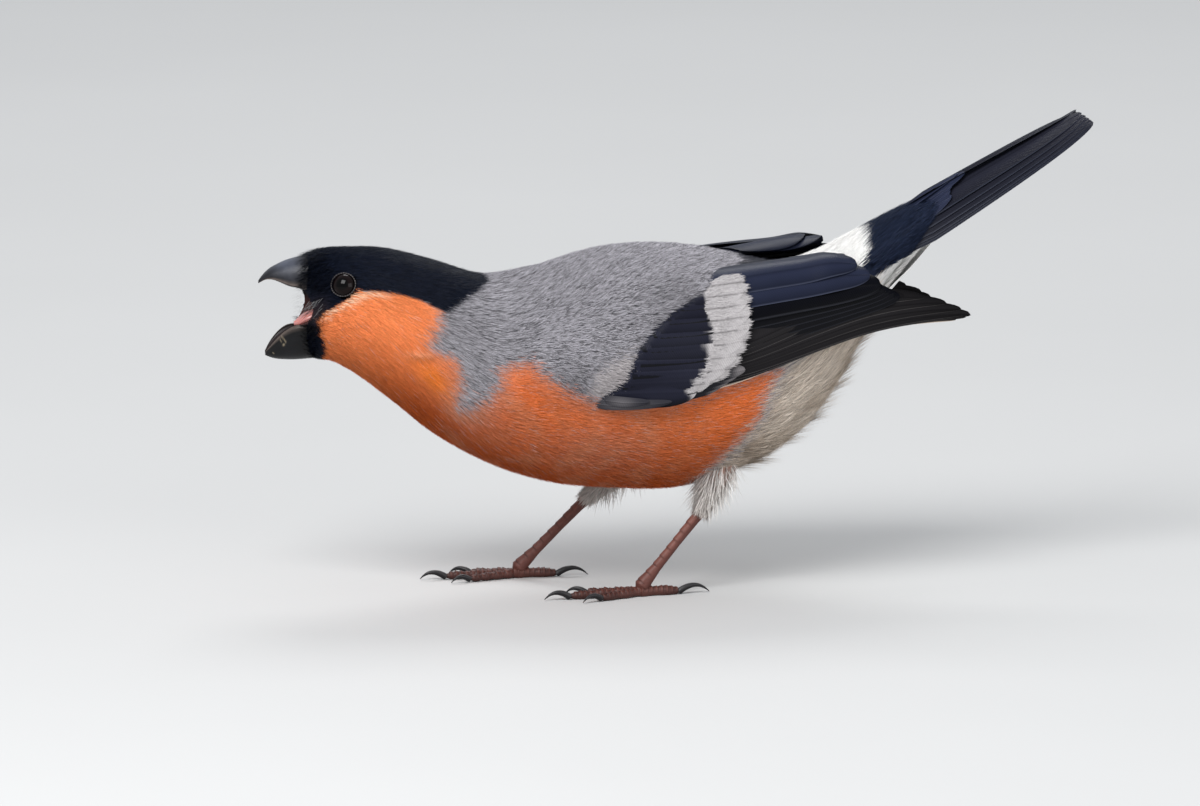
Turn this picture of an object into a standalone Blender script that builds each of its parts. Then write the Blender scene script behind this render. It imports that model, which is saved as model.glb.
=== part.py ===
"""A male bullfinch, life size: a still model in named pieces, such as a museum shows.

The bird faces -X, its back is towards +Z and its left side towards -Y. It leans forward
with its bill open and its tail raised, on two flat-soled feet. Every length is in metres,
written as millimetres times MM.
"""

import math

import bmesh
import bpy
import numpy as np
from mathutils import Vector

MM = 0.001
GAP = 0.3 * MM
CUT_GROWTH = 0.42 * MM
SMOOTH_ANGLE = math.radians(40.0)
LEFT, RIGHT = -1, 1
SIDES = {"left": LEFT, "right": RIGHT}

# Stations along the body in millimetres, from the face to the root of the tail:
# how far along it lies, the height of the back, the height of the underside,
# the half width, and where the widest line lies, from 0 at the underside to 1 at the back.
BODY_STATIONS = (
    (-74.6, 63.5, 50.5, 2.6, 0.50),
    (-73.4, 66.2, 47.9, 5.0, 0.50),
    (-71.5, 67.5, 46.6, 7.2, 0.51),
    (-68.5, 68.2, 46.2, 9.2, 0.52),
    (-64.5, 68.3, 44.2, 10.7, 0.52),
    (-58.0, 68.1, 39.4, 12.3, 0.50),
    (-48.0, 65.6, 31.3, 15.2, 0.47),
    (-38.0, 62.6, 25.7, 18.4, 0.45),
    (-27.0, 63.8, 21.9, 21.3, 0.46),
    (-14.0, 65.7, 20.2, 23.2, 0.47),
    (0.0, 66.2, 20.0, 23.2, 0.49),
    (12.0, 64.4, 23.4, 21.0, 0.52),
    (21.0, 62.8, 28.4, 17.8, 0.56),
    (29.0, 65.0, 36.2, 14.2, 0.58),
    (35.0, 67.9, 46.0, 11.4, 0.60),
    (41.0, 71.0, 56.0, 8.6, 0.60),
    (48.0, 74.2, 64.6, 6.4, 0.60),
    (52.0, 75.4, 69.0, 4.2, 0.60),
)
BODY_FULLNESS = 0.93
BODY_SEGMENTS = 30
HEAD_TURN_START = -30.0 * MM
HEAD_TURN_END = -55.0 * MM
HEAD_TURN = math.tan(math.radians(11.0))

# Where the body is parted: a point on the joint plane (x, z) and its lean in degrees.
NECK_TOP = (-53.5 * MM, 53.0 * MM, 24.0)
NECK_ROOT = (-37.0 * MM, 44.0 * MM, 28.0)
RUMP_FRONT = (19.0 * MM, 46.0 * MM, -24.0)

EYE_PLACE = (-67.2 * MM, 62.4 * MM)
EYE_RADIUS = 2.5 * MM
EYE_SHOWS = 0.95 * MM
LID_RADIUS = 2.5 * MM
LID_THICKNESS = 0.4 * MM

MOUTH_CENTRE = (-76.6 * MM, 57.0 * MM)
MOUTH_SIZE = (6.1 * MM, 9.0 * MM, 4.3 * MM)

# The bill in millimetres, from the face to the tip: along, upper line, lower line, half width.
UPPER_BILL = (
    (-70.0, 67.0, 60.2, 4.5),
    (-72.4, 66.9, 60.4, 4.5),
    (-74.3, 66.45, 61.1, 4.15),
    (-76.5, 65.8, 61.5, 3.5),
    (-78.2, 65.0, 62.1, 2.8),
    (-79.6, 64.2, 62.4, 2.1),
    (-80.7, 63.2, 62.2, 1.35),
    (-81.4, 62.4, 61.7, 0.7),
    (-81.8, 61.85, 61.35, 0.3),
)
LOWER_BILL = (
    (-69.6, 52.6, 46.6, 4.4),
    (-72.4, 52.9, 46.35, 4.4),
    (-74.2, 53.2, 46.2, 4.3),
    (-75.5, 53.0, 46.15, 4.05),
    (-77.1, 52.1, 46.2, 3.5),
    (-78.6, 50.6, 46.35, 2.7),
    (-79.8, 49.0, 46.7, 1.7),
    (-80.5, 47.9, 47.0, 0.7),
)
BILL_SEGMENTS = 16
BILL_INNER_BULGE = 0.12
NOSTRIL_PLACE = (-73.9 * MM, 65.1 * MM)
NOSTRIL_OUT = 3.2 * MM
NOSTRIL_RADIUS = 0.55 * MM

# The tongue in millimetres: along, height of its middle line, half width, half thickness.
TONGUE = (
    (-69.4, 55.0, 1.9, 1.1),
    (-71.4, 55.2, 2.0, 1.0),
    (-73.2, 55.1, 1.8, 0.85),
    (-74.8, 54.9, 1.3, 0.6),
    (-75.8, 54.65, 0.6, 0.35),
)

# The shell that the folded wing lies on, in millimetres: along, height of its middle,
# half height and half width.
WING_STATIONS = (
    (-40.0, 43.2, 17.2, 17.9),
    (-27.0, 42.6, 21.3, 22.0),
    (-14.0, 42.8, 23.3, 23.9),
    (0.0, 43.2, 23.6, 23.9),
    (12.0, 44.4, 23.0, 22.2),
    (24.0, 46.4, 21.4, 19.4),
    (36.0, 49.0, 18.6, 16.8),
    (48.0, 51.4, 14.6, 14.8),
    (60.0, 53.6, 10.5, 13.4),
)
VANE_THICKNESS = 0.55 * MM
VANE_STEP = 0.23 * MM
RACHIS_RISE = 0.16 * MM

# The shoulder on the wing's shell: its middle (along, degrees down from the back), its
# reach forwards and back, and its reach in degrees up to the back and down to the wrist.
SHOULDER_MIDDLE = (-13.0 * MM, 60.0)
SHOULDER_LENGTH = 25.0 * MM
SHOULDER_REACH = (47.0, 38.0)
SHOULDER_SKEW = -0.5
SHOULDER_HEIGHT = 4.0 * MM
SHOULDER_RIM = -0.7 * MM
SHOULDER_SINK = 1.2 * MM
SHOULDER_RINGS = 4
SHOULDER_SEGMENTS = 18

# Each row of wing feathers, from its lowest feather to its highest. Roots and tips are
# places on the shell (along in millimetres, degrees down from the back) that the row runs
# through. Widths are those below and above the shaft, lift is the height of the first
# feather's tip above the shell, and sink is how much deeper its root lies.
WING_ROWS = {
    "primaries": {
        "count": 8,
        "roots": ((-7.0, 88.5), (0.0, 70.0)),
        "tips": ((51.5, 82.8), (55.2, 81.6), (50.5, 73.5), (42.4, 65.5)),
        "widths": (1.1, 3.0),
        "lift": 0.25,
        "sink": 0.0,
        "bow": -3.5,
        "segments": 3,
    },
    "secondaries": {
        "count": 5,
        "roots": ((0.0, 69.0), (-1.0, 55.0)),
        "tips": ((41.8, 66.5), (39.3, 61.0)),
        "widths": (2.6, 3.2),
        "lift": 2.05,
        "sink": 0.6,
        "bow": -2.0,
        "segments": 3,
    },
    "tertials": {
        "count": 3,
        "roots": ((-1.0, 56.0), (-2.0, 48.0)),
        "tips": ((38.6, 58.5), (37.0, 53.5), (32.6, 45.0)),
        "widths": (4.2, 4.0),
        "lift": 3.0,
        "sink": 1.2,
        "bow": 0.0,
        "segments": 3,
    },
    "greater_coverts": {
        "count": 7,
        "roots": ((-19.0, 89.0), (-13.0, 68.0), (-4.0, 46.0)),
        "tips": ((-1.0, 89.5), (6.1, 78.5), (10.1, 63.0), (9.3, 45.0)),
        "widths": (2.4, 2.6),
        "lift": 2.45,
        "sink": 1.6,
        "bow": 0.0,
        "segments": 3,
    },
    "primary_coverts": {
        "count": 3,
        "roots": ((-12.0, 93.0), (-9.0, 85.0)),
        "tips": ((7.0, 89.5), (10.5, 82.5)),
        "widths": (1.3, 1.7),
        "lift": 1.5,
        "sink": 0.9,
        "bow": 0.0,
        "segments": 2,
    },
    "bastard_wing": {
        "count": 2,
        "roots": ((-20.0, 94.0), (-19.0, 90.5)),
        "tips": ((-0.5, 93.2), (-5.5, 91.2)),
        "widths": (1.2, 1.7),
        "lift": 2.2,
        "sink": 1.2,
        "bow": 0.0,
        "segments": 3,
    },
    "median_coverts": {
        "count": 5,
        "roots": ((-28.0, 84.0), (-21.0, 66.0), (-11.0, 47.0)),
        "tips": ((-15.5, 89.0), (-9.7, 69.0), (0.8, 48.5)),
        "widths": (3.5, 3.6),
        "lift": 3.05,
        "sink": 2.2,
        "bow": 0.0,
        "segments": 2,
    },
}

# The tail: its root and tip on the middle line (along, height), the spread of its
# feathers and how the folded feathers slope down to each side at the root and the tip.
TAIL_ROOT = (41.0 * MM, 68.6 * MM)
TAIL_TIP = (81.2 * MM, 89.2 * MM)
TAIL_PAIRS = 6
TAIL_ROOT_SPREAD = 4.2 * MM
TAIL_TIP_SPREAD = 6.4 * MM
TAIL_ROOT_DROP = 4.6 * MM
TAIL_TIP_DROP = 0.7 * MM
TAIL_FEATHER_HALF_WIDTH = 3.4 * MM
TAIL_STEP = 0.27 * MM
TAIL_FORK = 1.5 * MM
TAIL_COVERTS = 7
TAIL_COVERT_SPREAD = 0.8
TAIL_COVERT_ROOT = -0.06
TAIL_COVERT_REACH = 0.42
TAIL_COVERT_STAGGER = 0.16
TAIL_COVERT_HALF_WIDTH = 2.9 * MM
UNDERTAIL_COVERTS = 5
UNDERTAIL_ROOT = 30.0 * MM
UNDERTAIL_TIP = 51.0 * MM
UNDERTAIL_STAGGER = 5.0 * MM
UNDERTAIL_MIDDLE = math.radians(182.3)
UNDERTAIL_ROOT_SPREAD = math.radians(80.0)
UNDERTAIL_TIP_SPREAD = math.radians(28.0)
UNDERTAIL_HALF_WIDTH = 3.4 * MM
UNDERTAIL_LIFTS = (-0.9 * MM, 0.8 * MM)

# The legs: where the thigh leaves the belly, the heel, the root of the toes (x, y, z).
LEGS = {
    "left": {
        "thigh": (7.0, -8.6, 27.0),
        "heel": (2.6, -11.4, 16.3),
        "foot": (-9.6, -12.4, 2.0),
    },
    "right": {
        "thigh": (-5.0, 8.4, 26.5),
        "heel": (-15.6, 10.8, 15.6),
        "foot": (-29.2, 11.8, 2.0),
    },
}
# The thigh's outline: share of the way to the heel, and radius in millimetres.
THIGH_STATIONS = ((0.0, 5.6), (0.3, 5.0), (0.55, 3.7), (0.8, 2.3), (0.97, 1.35))
THIGH_LOCKS = 7
LOCK_START = 0.45
LOCK_OUT = (3.1 * MM, 1.6 * MM)
LOCK_HALF_WIDTH = 1.5 * MM
SHANK_RADII = (1.25, 1.0, 0.95, 1.05, 1.45)
SHANK_TOP = 0.6 * MM
ANKLE_TOP = 2.0 * MM
ANKLE_END = 1.0 * MM
ANKLE_RADII = (1.45 * MM, 1.6 * MM, 0.9 * MM)
ANKLE_CLEAR = 0.25 * MM
TOE_HEIGHT = 0.95 * MM
# Each toe: the way it points in degrees off straight ahead, its length without the claw,
# its number of pads and its radius.
TOES = {
    "inner": (-24.0, 9.6, 2, 0.95),
    "middle": (-3.0, 14.4, 3, 1.05),
    "outer": (17.0, 10.8, 4, 0.9),
    "hind": (176.0, 7.6, 1, 1.15),
}
CLAW_LENGTH = {"inner": 4.6, "middle": 5.4, "outer": 4.3, "hind": 6.6}
CLAW_RADIUS = 0.62 * MM
CLAW_ROOT_HEIGHT = 0.75 * MM
CLAW_TIP_DROP = 0.55 * MM
CLAW_ARCH = 0.62

COLOURS = {
    "black_cap": ((0.012, 0.014, 0.024, 1.0), 0.45),
    "orange_breast": ((0.62, 0.13, 0.045, 1.0), 0.8),
    "white_rump": ((0.78, 0.76, 0.74, 1.0), 0.85),
    "wing_quill": ((0.014, 0.017, 0.035, 1.0), 0.4),
    "bill_horn": ((0.055, 0.055, 0.065, 1.0), 0.35),
    "eye_gloss": ((0.01, 0.006, 0.004, 1.0), 0.05),
    "tongue_pink": ((0.55, 0.2, 0.2, 1.0), 0.4),
    "thigh_down": ((0.55, 0.5, 0.47, 1.0), 0.9),
    "leg_scale": ((0.12, 0.05, 0.035, 1.0), 0.5),
    "claw_horn": ((0.03, 0.028, 0.03, 1.0), 0.3),
}


def clear_scene():
    for leftover in list(bpy.data.objects):
        bpy.data.objects.remove(leftover)


def finish_of(name):
    """The material of that name, made the first time it is asked for."""
    found = bpy.data.materials.get(name)
    if found:
        return found
    colour, roughness = COLOURS[name]
    made = bpy.data.materials.new(name)
    made.use_nodes = True
    shader = made.node_tree.nodes["Principled BSDF"]
    shader.inputs["Base Color"].default_value = colour
    shader.inputs["Roughness"].default_value = roughness
    made.diffuse_color = colour
    return made


def new_object(name, points, faces, finish):
    """A mesh object from points and faces, with its faces turned outwards."""
    mesh = bpy.data.meshes.new(name)
    mesh.from_pydata([tuple(map(float, p)) for p in points], [], [tuple(map(int, f)) for f in faces])
    work = bmesh.new()
    work.from_mesh(mesh)
    bmesh.ops.recalc_face_normals(work, faces=work.faces)
    work.to_mesh(mesh)
    work.free()
    mesh.shade_smooth()
    mesh.set_sharp_from_angle(angle=SMOOTH_ANGLE)
    made = bpy.data.objects.new(name, mesh)
    bpy.context.scene.collection.objects.link(made)
    made.data.materials.append(finish_of(finish))
    return made


def through(places, values, at):
    """Values on a smooth curve through the given ones: a cubic Hermite spline."""
    places, values = np.asarray(places, float), np.asarray(values, float)
    at = np.clip(np.asarray(at, float), min(places[0], places[-1]), max(places[0], places[-1]))
    if places[0] > places[-1]:
        places, values = places[::-1], values[::-1]
    slopes = np.gradient(values, places)
    k = np.clip(np.searchsorted(places, at, side="right") - 1, 0, len(places) - 2)
    span = places[k + 1] - places[k]
    t = (at - places[k]) / span
    return (
        (2 * t**3 - 3 * t**2 + 1) * values[k]
        + (t**3 - 2 * t**2 + t) * span * slopes[k]
        + (3 * t**2 - 2 * t**3) * values[k + 1]
        + (t**3 - t**2) * span * slopes[k + 1]
    )


def columns(stations):
    """The columns of a table given in millimetres, in metres; shares stay as they are."""
    return np.asarray(stations, float).T * MM


def head_turn(x):
    """How far the head and neck swing to the bird's right at this distance along."""
    bend = np.clip(HEAD_TURN_START - x, 0, HEAD_TURN_START - HEAD_TURN_END)
    straight = np.clip(HEAD_TURN_END - x, 0, None)
    return HEAD_TURN * (bend**2 / (2 * (HEAD_TURN_START - HEAD_TURN_END)) + straight)


def rounded(value, fullness):
    return np.sign(value) * np.abs(value) ** fullness


def body_points(x, turn, growth=0.0):
    """Points of the body's surface at x; turn is 0 at the back and goes by the left side."""
    along, back, under, half_width, widest = columns(BODY_STATIONS)
    top = through(along, back, x) + growth
    bottom = through(along, under, x) - growth
    width = through(along, half_width, x) + growth
    middle = bottom + (top - bottom) * through(along, widest / MM, x)
    up = rounded(np.cos(turn), BODY_FULLNESS)
    side = rounded(np.sin(turn), BODY_FULLNESS)
    height = np.where(up > 0, (top - middle) * up, (middle - bottom) * up)
    return np.stack([x + 0 * turn, head_turn(x) - width * side, middle + height], -1)


def tube_faces(rings, segments):
    """Quads of a tube of rings, with both ends closed by one face each."""
    faces = [
        (r * segments + s, r * segments + (s + 1) % segments,
         (r + 1) * segments + (s + 1) % segments, (r + 1) * segments + s)
        for r in range(rings - 1)
        for s in range(segments)
    ]
    last = (rings - 1) * segments
    faces.append(tuple(range(segments - 1, -1, -1)))
    faces.append(tuple(range(last, last + segments)))
    return faces


def body_rings():
    """Places along the body, close together on the head and wider apart behind."""
    along = columns(BODY_STATIONS)[0]
    head = np.linspace(along[0], -66.0 * MM, 8)
    neck = np.linspace(-64.0 * MM, -36.0 * MM, 13)
    torso = np.linspace(-32.0 * MM, 20.0 * MM, 12)
    rump = np.linspace(23.5 * MM, along[-1], 9)
    return np.concatenate([head, neck, torso, rump])


def whole_body(name, finish, growth=0.0):
    """The whole body from the face to the tail's root, as one closed loft."""
    turns = np.arange(BODY_SEGMENTS) * 2 * math.pi / BODY_SEGMENTS
    rings = [body_points(np.full(BODY_SEGMENTS, x), turns, growth) for x in body_rings()]
    if growth:
        rings[0][:, 0] -= growth
        rings[-1][:, 0] += growth
    return new_object(name, np.concatenate(rings), tube_faces(len(rings), BODY_SEGMENTS), finish)


def joint_plane(place, offset):
    """A point on a joint plane and its normal towards the tail, moved along by offset."""
    x, z, lean = place
    lean = math.radians(lean)
    normal = Vector((math.cos(lean), 0.0, math.sin(lean)))
    return Vector((x, 0.0, z)) + normal * offset, normal


def keep_side(obj, place, side):
    """Cuts a closed mesh with a joint plane, keeps the side (-1 head, 1 tail), closes it."""
    point, normal = joint_plane(place, side * GAP / 2)
    work = bmesh.new()
    work.from_mesh(obj.data)
    bmesh.ops.bisect_plane(
        work,
        geom=work.verts[:] + work.edges[:] + work.faces[:],
        dist=1e-7,
        plane_co=point,
        plane_no=normal * side,
        clear_inner=True,
    )
    rim = [edge for edge in work.edges if edge.is_boundary]
    bmesh.ops.contextual_create(work, geom=rim)
    bmesh.ops.recalc_face_normals(work, faces=work.faces)
    work.to_mesh(obj.data)
    work.free()


def apply_modifier(obj, modifier):
    """Applies one modifier in place, without needing a selection."""
    graph = bpy.context.evaluated_depsgraph_get()
    result = bpy.data.meshes.new_from_object(obj.evaluated_get(graph))
    obj.modifiers.remove(modifier)
    obj.data = result


def boolean(obj, operation, others):
    """Joins others to obj or cuts them from it, then removes them."""
    held = bpy.data.collections.new("held")
    bpy.context.scene.collection.children.link(held)
    for other in others:
        held.objects.link(other)
    modifier = obj.modifiers.new("boolean", "BOOLEAN")
    modifier.operation = operation
    modifier.solver = "EXACT"
    modifier.operand_type = "COLLECTION"
    modifier.collection = held
    apply_modifier(obj, modifier)
    for other in others:
        bpy.data.objects.remove(other)
    bpy.data.collections.remove(held)


def keep_largest(obj):
    """Drops every closed surface of the mesh but the one that takes up most room."""
    work = bmesh.new()
    work.from_mesh(obj.data)
    work.verts.ensure_lookup_table()
    left, groups = set(work.verts), []
    while left:
        group, edge_of = set(), [next(iter(left))]
        while edge_of:
            vertex = edge_of.pop()
            if vertex in group:
                continue
            group.add(vertex)
            edge_of.extend(e.other_vert(vertex) for e in vertex.link_edges)
        left -= group
        groups.append(group)

    def spread(group):
        places = np.array([v.co for v in group])
        return float(np.prod(places.max(0) - places.min(0) + 1e-9))

    groups.sort(key=spread, reverse=True)
    scraps = [v for group in groups[1:] for v in group]
    bmesh.ops.delete(work, geom=scraps, context="VERTS")
    bmesh.ops.triangulate(work, faces=work.faces)
    work.to_mesh(obj.data)
    work.free()
    obj.data.shade_smooth()
    obj.data.set_sharp_from_angle(angle=SMOOTH_ANGLE)


def ball(name, centre, size, segments, finish):
    """A ball, squashed to the half sizes given, as a closed mesh."""
    work = bmesh.new()
    bmesh.ops.create_uvsphere(work, u_segments=segments, v_segments=segments * 2 // 3, radius=1.0)
    points = [(centre[0] + v.co.x * size[0], centre[1] + v.co.y * size[1],
               centre[2] + v.co.z * size[2]) for v in work.verts]
    faces = [[v.index for v in f.verts] for f in work.faces]
    work.free()
    return new_object(name, points, faces, finish)


def ring(name, centre, axis, radius, thickness, finish, major=18, minor=5):
    """A torus round the axis through the centre."""
    axis = Vector(axis).normalized()
    first = axis.orthogonal().normalized()
    second = axis.cross(first)
    points = []
    for a in np.arange(major) * 2 * math.pi / major:
        out = first * math.cos(a) + second * math.sin(a)
        for b in np.arange(minor) * 2 * math.pi / minor:
            place = out * (radius + thickness * math.cos(b)) + axis * (thickness * math.sin(b))
            points.append(Vector(centre) + place)
    faces = [
        (i * minor + j, ((i + 1) % major) * minor + j,
         ((i + 1) % major) * minor + (j + 1) % minor, i * minor + (j + 1) % minor)
        for i in range(major)
        for j in range(minor)
    ]
    return new_object(name, points, faces, finish)


def skin_place(x, z, side):
    """The point of the head's skin at x and z on one side, and the way it faces."""
    turns = np.linspace(0.0, math.pi, 400)
    turns = turns if side == LEFT else 2 * math.pi - turns
    outline = body_points(np.full(turns.shape, x), turns)
    turn = turns[np.argmin(abs(outline[:, 2] - z))]
    step = 0.5 * MM
    here, ahead, round_it = (body_points(np.array([x + dx]), np.array([turn + dt]))[0]
                             for dx, dt in ((0.0, 0.0), (step, 0.0), (0.0, 0.05)))
    facing = Vector(np.cross(ahead - here, round_it - here)).normalized()
    if facing.y * side < 0:
        facing.negate()
    return Vector(here), facing


def eye_centre(side):
    """The middle of the eyeball, set in so that only its front stands out."""
    skin, facing = skin_place(*EYE_PLACE, side)
    return skin - facing * (EYE_RADIUS - EYE_SHOWS)


def make_head():
    """The head, with sockets, lids and the open mouth cut into it."""
    head = whole_body("head", "black_cap")
    keep_side(head, NECK_TOP, -1)
    x, z = MOUTH_CENTRE
    cutters = [
        ball("mouth_cut", (x, float(head_turn(x)), z), MOUTH_SIZE, 16, "black_cap"),
        make_tongue("tongue_cut", GAP),
    ]
    lids = []
    for name, side in SIDES.items():
        centre = eye_centre(side)
        socket = [EYE_RADIUS + GAP * 1.25] * 3
        cutters.append(ball(f"socket_{name}", centre, socket, 16, "black_cap"))
        skin, facing = skin_place(*EYE_PLACE, side)
        lids.append(ring(f"lid_{name}", skin, facing, LID_RADIUS, LID_THICKNESS, "black_cap"))
    boolean(head, "UNION", lids)
    boolean(head, "DIFFERENCE", cutters)
    keep_largest(head)


def make_eyes():
    for name, side in SIDES.items():
        ball(f"eye_{name}", eye_centre(side), [EYE_RADIUS] * 3, 12, "eye_gloss")


def bill_half(name, stations, flat_side, finish):
    """One half of the bill: D-shaped rings whose flat side faces the mouth."""
    along, upper, lower, half_width = columns(stations)
    turns = np.arange(BILL_SEGMENTS) * 2 * math.pi / BILL_SEGMENTS
    rings = []
    for x, top, bottom, width in zip(along, upper, lower, half_width):
        edge = bottom if flat_side < 0 else top
        crown = top if flat_side < 0 else bottom
        rise = np.where(np.cos(turns) > 0, (crown - edge) * rounded(np.cos(turns), 0.9),
                        (crown - edge) * BILL_INNER_BULGE * np.cos(turns))
        points = np.stack([np.full(turns.shape, x),
                           float(head_turn(x)) + width * rounded(np.sin(turns), 0.85),
                           edge + rise], -1)
        rings.append(points)
    return new_object(name, np.concatenate(rings), tube_faces(len(rings), BILL_SEGMENTS), finish)


def make_bill():
    upper = bill_half("upper_bill", UPPER_BILL, -1, "bill_horn")
    lower = bill_half("lower_bill", LOWER_BILL, 1, "bill_horn")
    x, z = NOSTRIL_PLACE
    pits = []
    for name, side in SIDES.items():
        place = (x, float(head_turn(x)) + side * NOSTRIL_OUT, z)
        pits.append(ball(f"nostril_{name}", place, [NOSTRIL_RADIUS] * 3, 8, "bill_horn"))
    for half in (upper, lower):
        boolean(half, "DIFFERENCE", [whole_body("face_cut", "bill_horn", CUT_GROWTH)])
    boolean(upper, "DIFFERENCE", pits)
    keep_largest(upper)
    keep_largest(lower)


def make_tongue(name="tongue", growth=0.0):
    """The tongue, which lies on the floor of the mouth."""
    along, height, half_width, half_depth = columns(TONGUE)
    segments = 10
    turns = np.arange(segments) * 2 * math.pi / segments
    rings = [
        np.stack([np.full(segments, x), float(head_turn(x)) + (w + growth) * np.sin(turns),
                  z + (d + growth) * np.cos(turns)], -1)
        for x, z, w, d in zip(along, height, half_width, half_depth)
    ]
    rings[0][:, 0] += growth
    rings[-1][:, 0] -= growth
    return new_object(name, np.concatenate(rings), tube_faces(len(rings), segments),
                      "tongue_pink")


def make_body():
    neck = whole_body("neck", "orange_breast")
    keep_side(neck, NECK_TOP, 1)
    keep_side(neck, NECK_ROOT, -1)
    torso = whole_body("torso", "orange_breast")
    keep_side(torso, NECK_ROOT, 1)
    keep_side(torso, RUMP_FRONT, -1)
    for piece in (neck, torso):
        keep_largest(piece)


def wing_points(side, x, angle, lift):
    """Points over the wing's shell; angle is in radians down from the back."""
    along, middle, half_height, half_width = columns(WING_STATIONS)
    high = through(along, half_height, x) + lift
    wide = through(along, half_width, x) + lift
    return np.stack([x + 0 * angle, side * wide * np.sin(angle),
                     through(along, middle, x) + high * np.cos(angle)], -1)


def wing_arc(x):
    """Metres along the shell for each radian of angle, near enough."""
    along, _, half_height, half_width = columns(WING_STATIONS)
    return (through(along, half_height, x) + through(along, half_width, x)) / 2


def feather_outline(share):
    """Half width of a vane along its length, as a share: narrow root, full, rounded tip."""
    return np.clip((0.35 + 3.2 * share) ** 0.6, 0, 1) * np.sqrt(np.clip(1 - share**7, 0.03, 1))


def vane_faces(segments):
    """Triangles of a vane: three lines of points above and three below, alike on both faces."""
    rows = segments + 1
    faces = []
    for j in range(segments):
        for k in (0, 1):
            a, b = j * 3 + k, j * 3 + k + 1
            c, d = a + 3, b + 3
            pairs = ((a, b, d), (a, d, c)) if k == 0 else ((a, b, c), (b, d, c))
            for one in pairs:
                faces.append(one)
                faces.append(tuple(i + rows * 3 for i in reversed(one)))
        for k in (0, 2):
            a, c = j * 3 + k, (j + 1) * 3 + k
            low, far = a + rows * 3, c + rows * 3
            side = ((a, c, far), (a, far, low))
            faces.extend(side if k == 0 else tuple(tuple(reversed(t)) for t in side))
    for j in (0, segments):
        for k in (0, 1):
            a, b = j * 3 + k, j * 3 + k + 1
            low, far = a + rows * 3, b + rows * 3
            end = ((a, low, far), (a, far, b))
            faces.extend(end if j == 0 else tuple(tuple(reversed(t)) for t in end))
    return faces


def vane_shares(segments):
    """Places along a vane, closer together towards its tip."""
    return np.linspace(0.0, 1.0, segments + 1) ** 0.8


def wing_vane(name, side, root, tip, widths, lift, sink, bow, segments):
    """One feather laid on the wing's shell between two places (along, angle).

    Its root lies deeper than its tip by the sink, under the feathers before it.
    """
    share = vane_shares(segments)
    lift = lift - sink * (1 - share) ** 1.5
    x = root[0] + (tip[0] - root[0]) * share
    angle = root[1] + (tip[1] - root[1]) * share + 4 * bow * share * (1 - share)
    arc = wing_arc(x)
    run = np.array([tip[0] - root[0], (tip[1] - root[1]) * arc.mean()])
    run /= np.linalg.norm(run)
    outline = feather_outline(share)
    layers = []
    for depth in (VANE_THICKNESS, 0.0):
        across = []
        for k, width in ((-1, widths[1]), (0, 0.0), (1, widths[0])):
            rise = 0.0 if k or not depth else RACHIS_RISE
            reach = k * width * outline
            across.append(wing_points(side, x - reach * run[1], angle + reach * run[0] / arc,
                                      lift + depth + rise))
        layers.append(np.stack(across, 1).reshape(-1, 3))
    return new_object(name, np.concatenate(layers), vane_faces(segments), "wing_quill")


def shoulder_pad(side):
    """A low dome on the wing's shell that carries the roots of the coverts and quills."""
    rings, segments = SHOULDER_RINGS, SHOULDER_SEGMENTS
    share = np.linspace(0.0, 1.0, rings + 1)[1:]
    turns = np.arange(segments) * 2 * math.pi / segments
    out, turn = (a.ravel() for a in np.meshgrid(share, turns, indexing="ij"))
    out, turn = np.append(0.0, out), np.append(0.0, turn)
    reach = np.radians(np.where(np.sin(turn) < 0, SHOULDER_REACH[0], SHOULDER_REACH[1]))
    x = SHOULDER_MIDDLE[0] + SHOULDER_LENGTH * out * (
        np.cos(turn) + SHOULDER_SKEW * 0.5 * np.sin(turn))
    angle = math.radians(SHOULDER_MIDDLE[1]) + reach * out * np.sin(turn)
    rise = SHOULDER_HEIGHT * (1 - out**3) + SHOULDER_RIM
    points = [wing_points(side, x, angle, rise),
              wing_points(side, x, angle, np.full(x.shape, -SHOULDER_SINK))]
    count = 1 + rings * segments
    faces = []
    for s in range(segments):
        n = (s + 1) % segments
        fan = [(0, 1 + s, 1 + n)]
        for r in range(rings - 1):
            a, b = 1 + r * segments + s, 1 + r * segments + n
            fan += [(a, a + segments, b + segments), (a, b + segments, b)]
        faces += fan + [tuple(i + count for i in reversed(t)) for t in fan]
        a, b = 1 + (rings - 1) * segments + s, 1 + (rings - 1) * segments + n
        faces += [(a, a + count, b + count), (a, b + count, b)]
    return new_object("shoulder_pad", np.concatenate(points), faces, "wing_quill")


def along_row(stations, share):
    """A place on the straight runs through a row's stations, from 0 at the first to 1."""
    stations = np.asarray(stations, float)
    at = share * (len(stations) - 1)
    return np.array([np.interp(at, np.arange(len(stations)), column) for column in stations.T])


def row_vanes(side, row_name):
    """The vanes of one row of wing feathers, each a step above the one before."""
    row = WING_ROWS[row_name]
    vanes = []
    for i in range(row["count"]):
        share = i / (row["count"] - 1)
        root, tip = along_row(row["roots"], share), along_row(row["tips"], share)
        vanes.append(wing_vane(
            f"{row_name}_{i}", side,
            (root[0] * MM, math.radians(root[1])),
            (tip[0] * MM, math.radians(tip[1])),
            [width * MM for width in row["widths"]],
            row["lift"] * MM + i * VANE_STEP, row["sink"] * MM,
            math.radians(row["bow"]), row["segments"]))
    return vanes


def make_wings():
    for name, side in SIDES.items():
        wing = shoulder_pad(side)
        wing.name = f"wing_{name}"
        vanes = [vane for row_name in WING_ROWS for vane in row_vanes(side, row_name)]
        boolean(wing, "UNION", vanes)
        boolean(wing, "DIFFERENCE", [whole_body("body_cut", "wing_quill", CUT_GROWTH)])
        keep_largest(wing)


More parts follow.
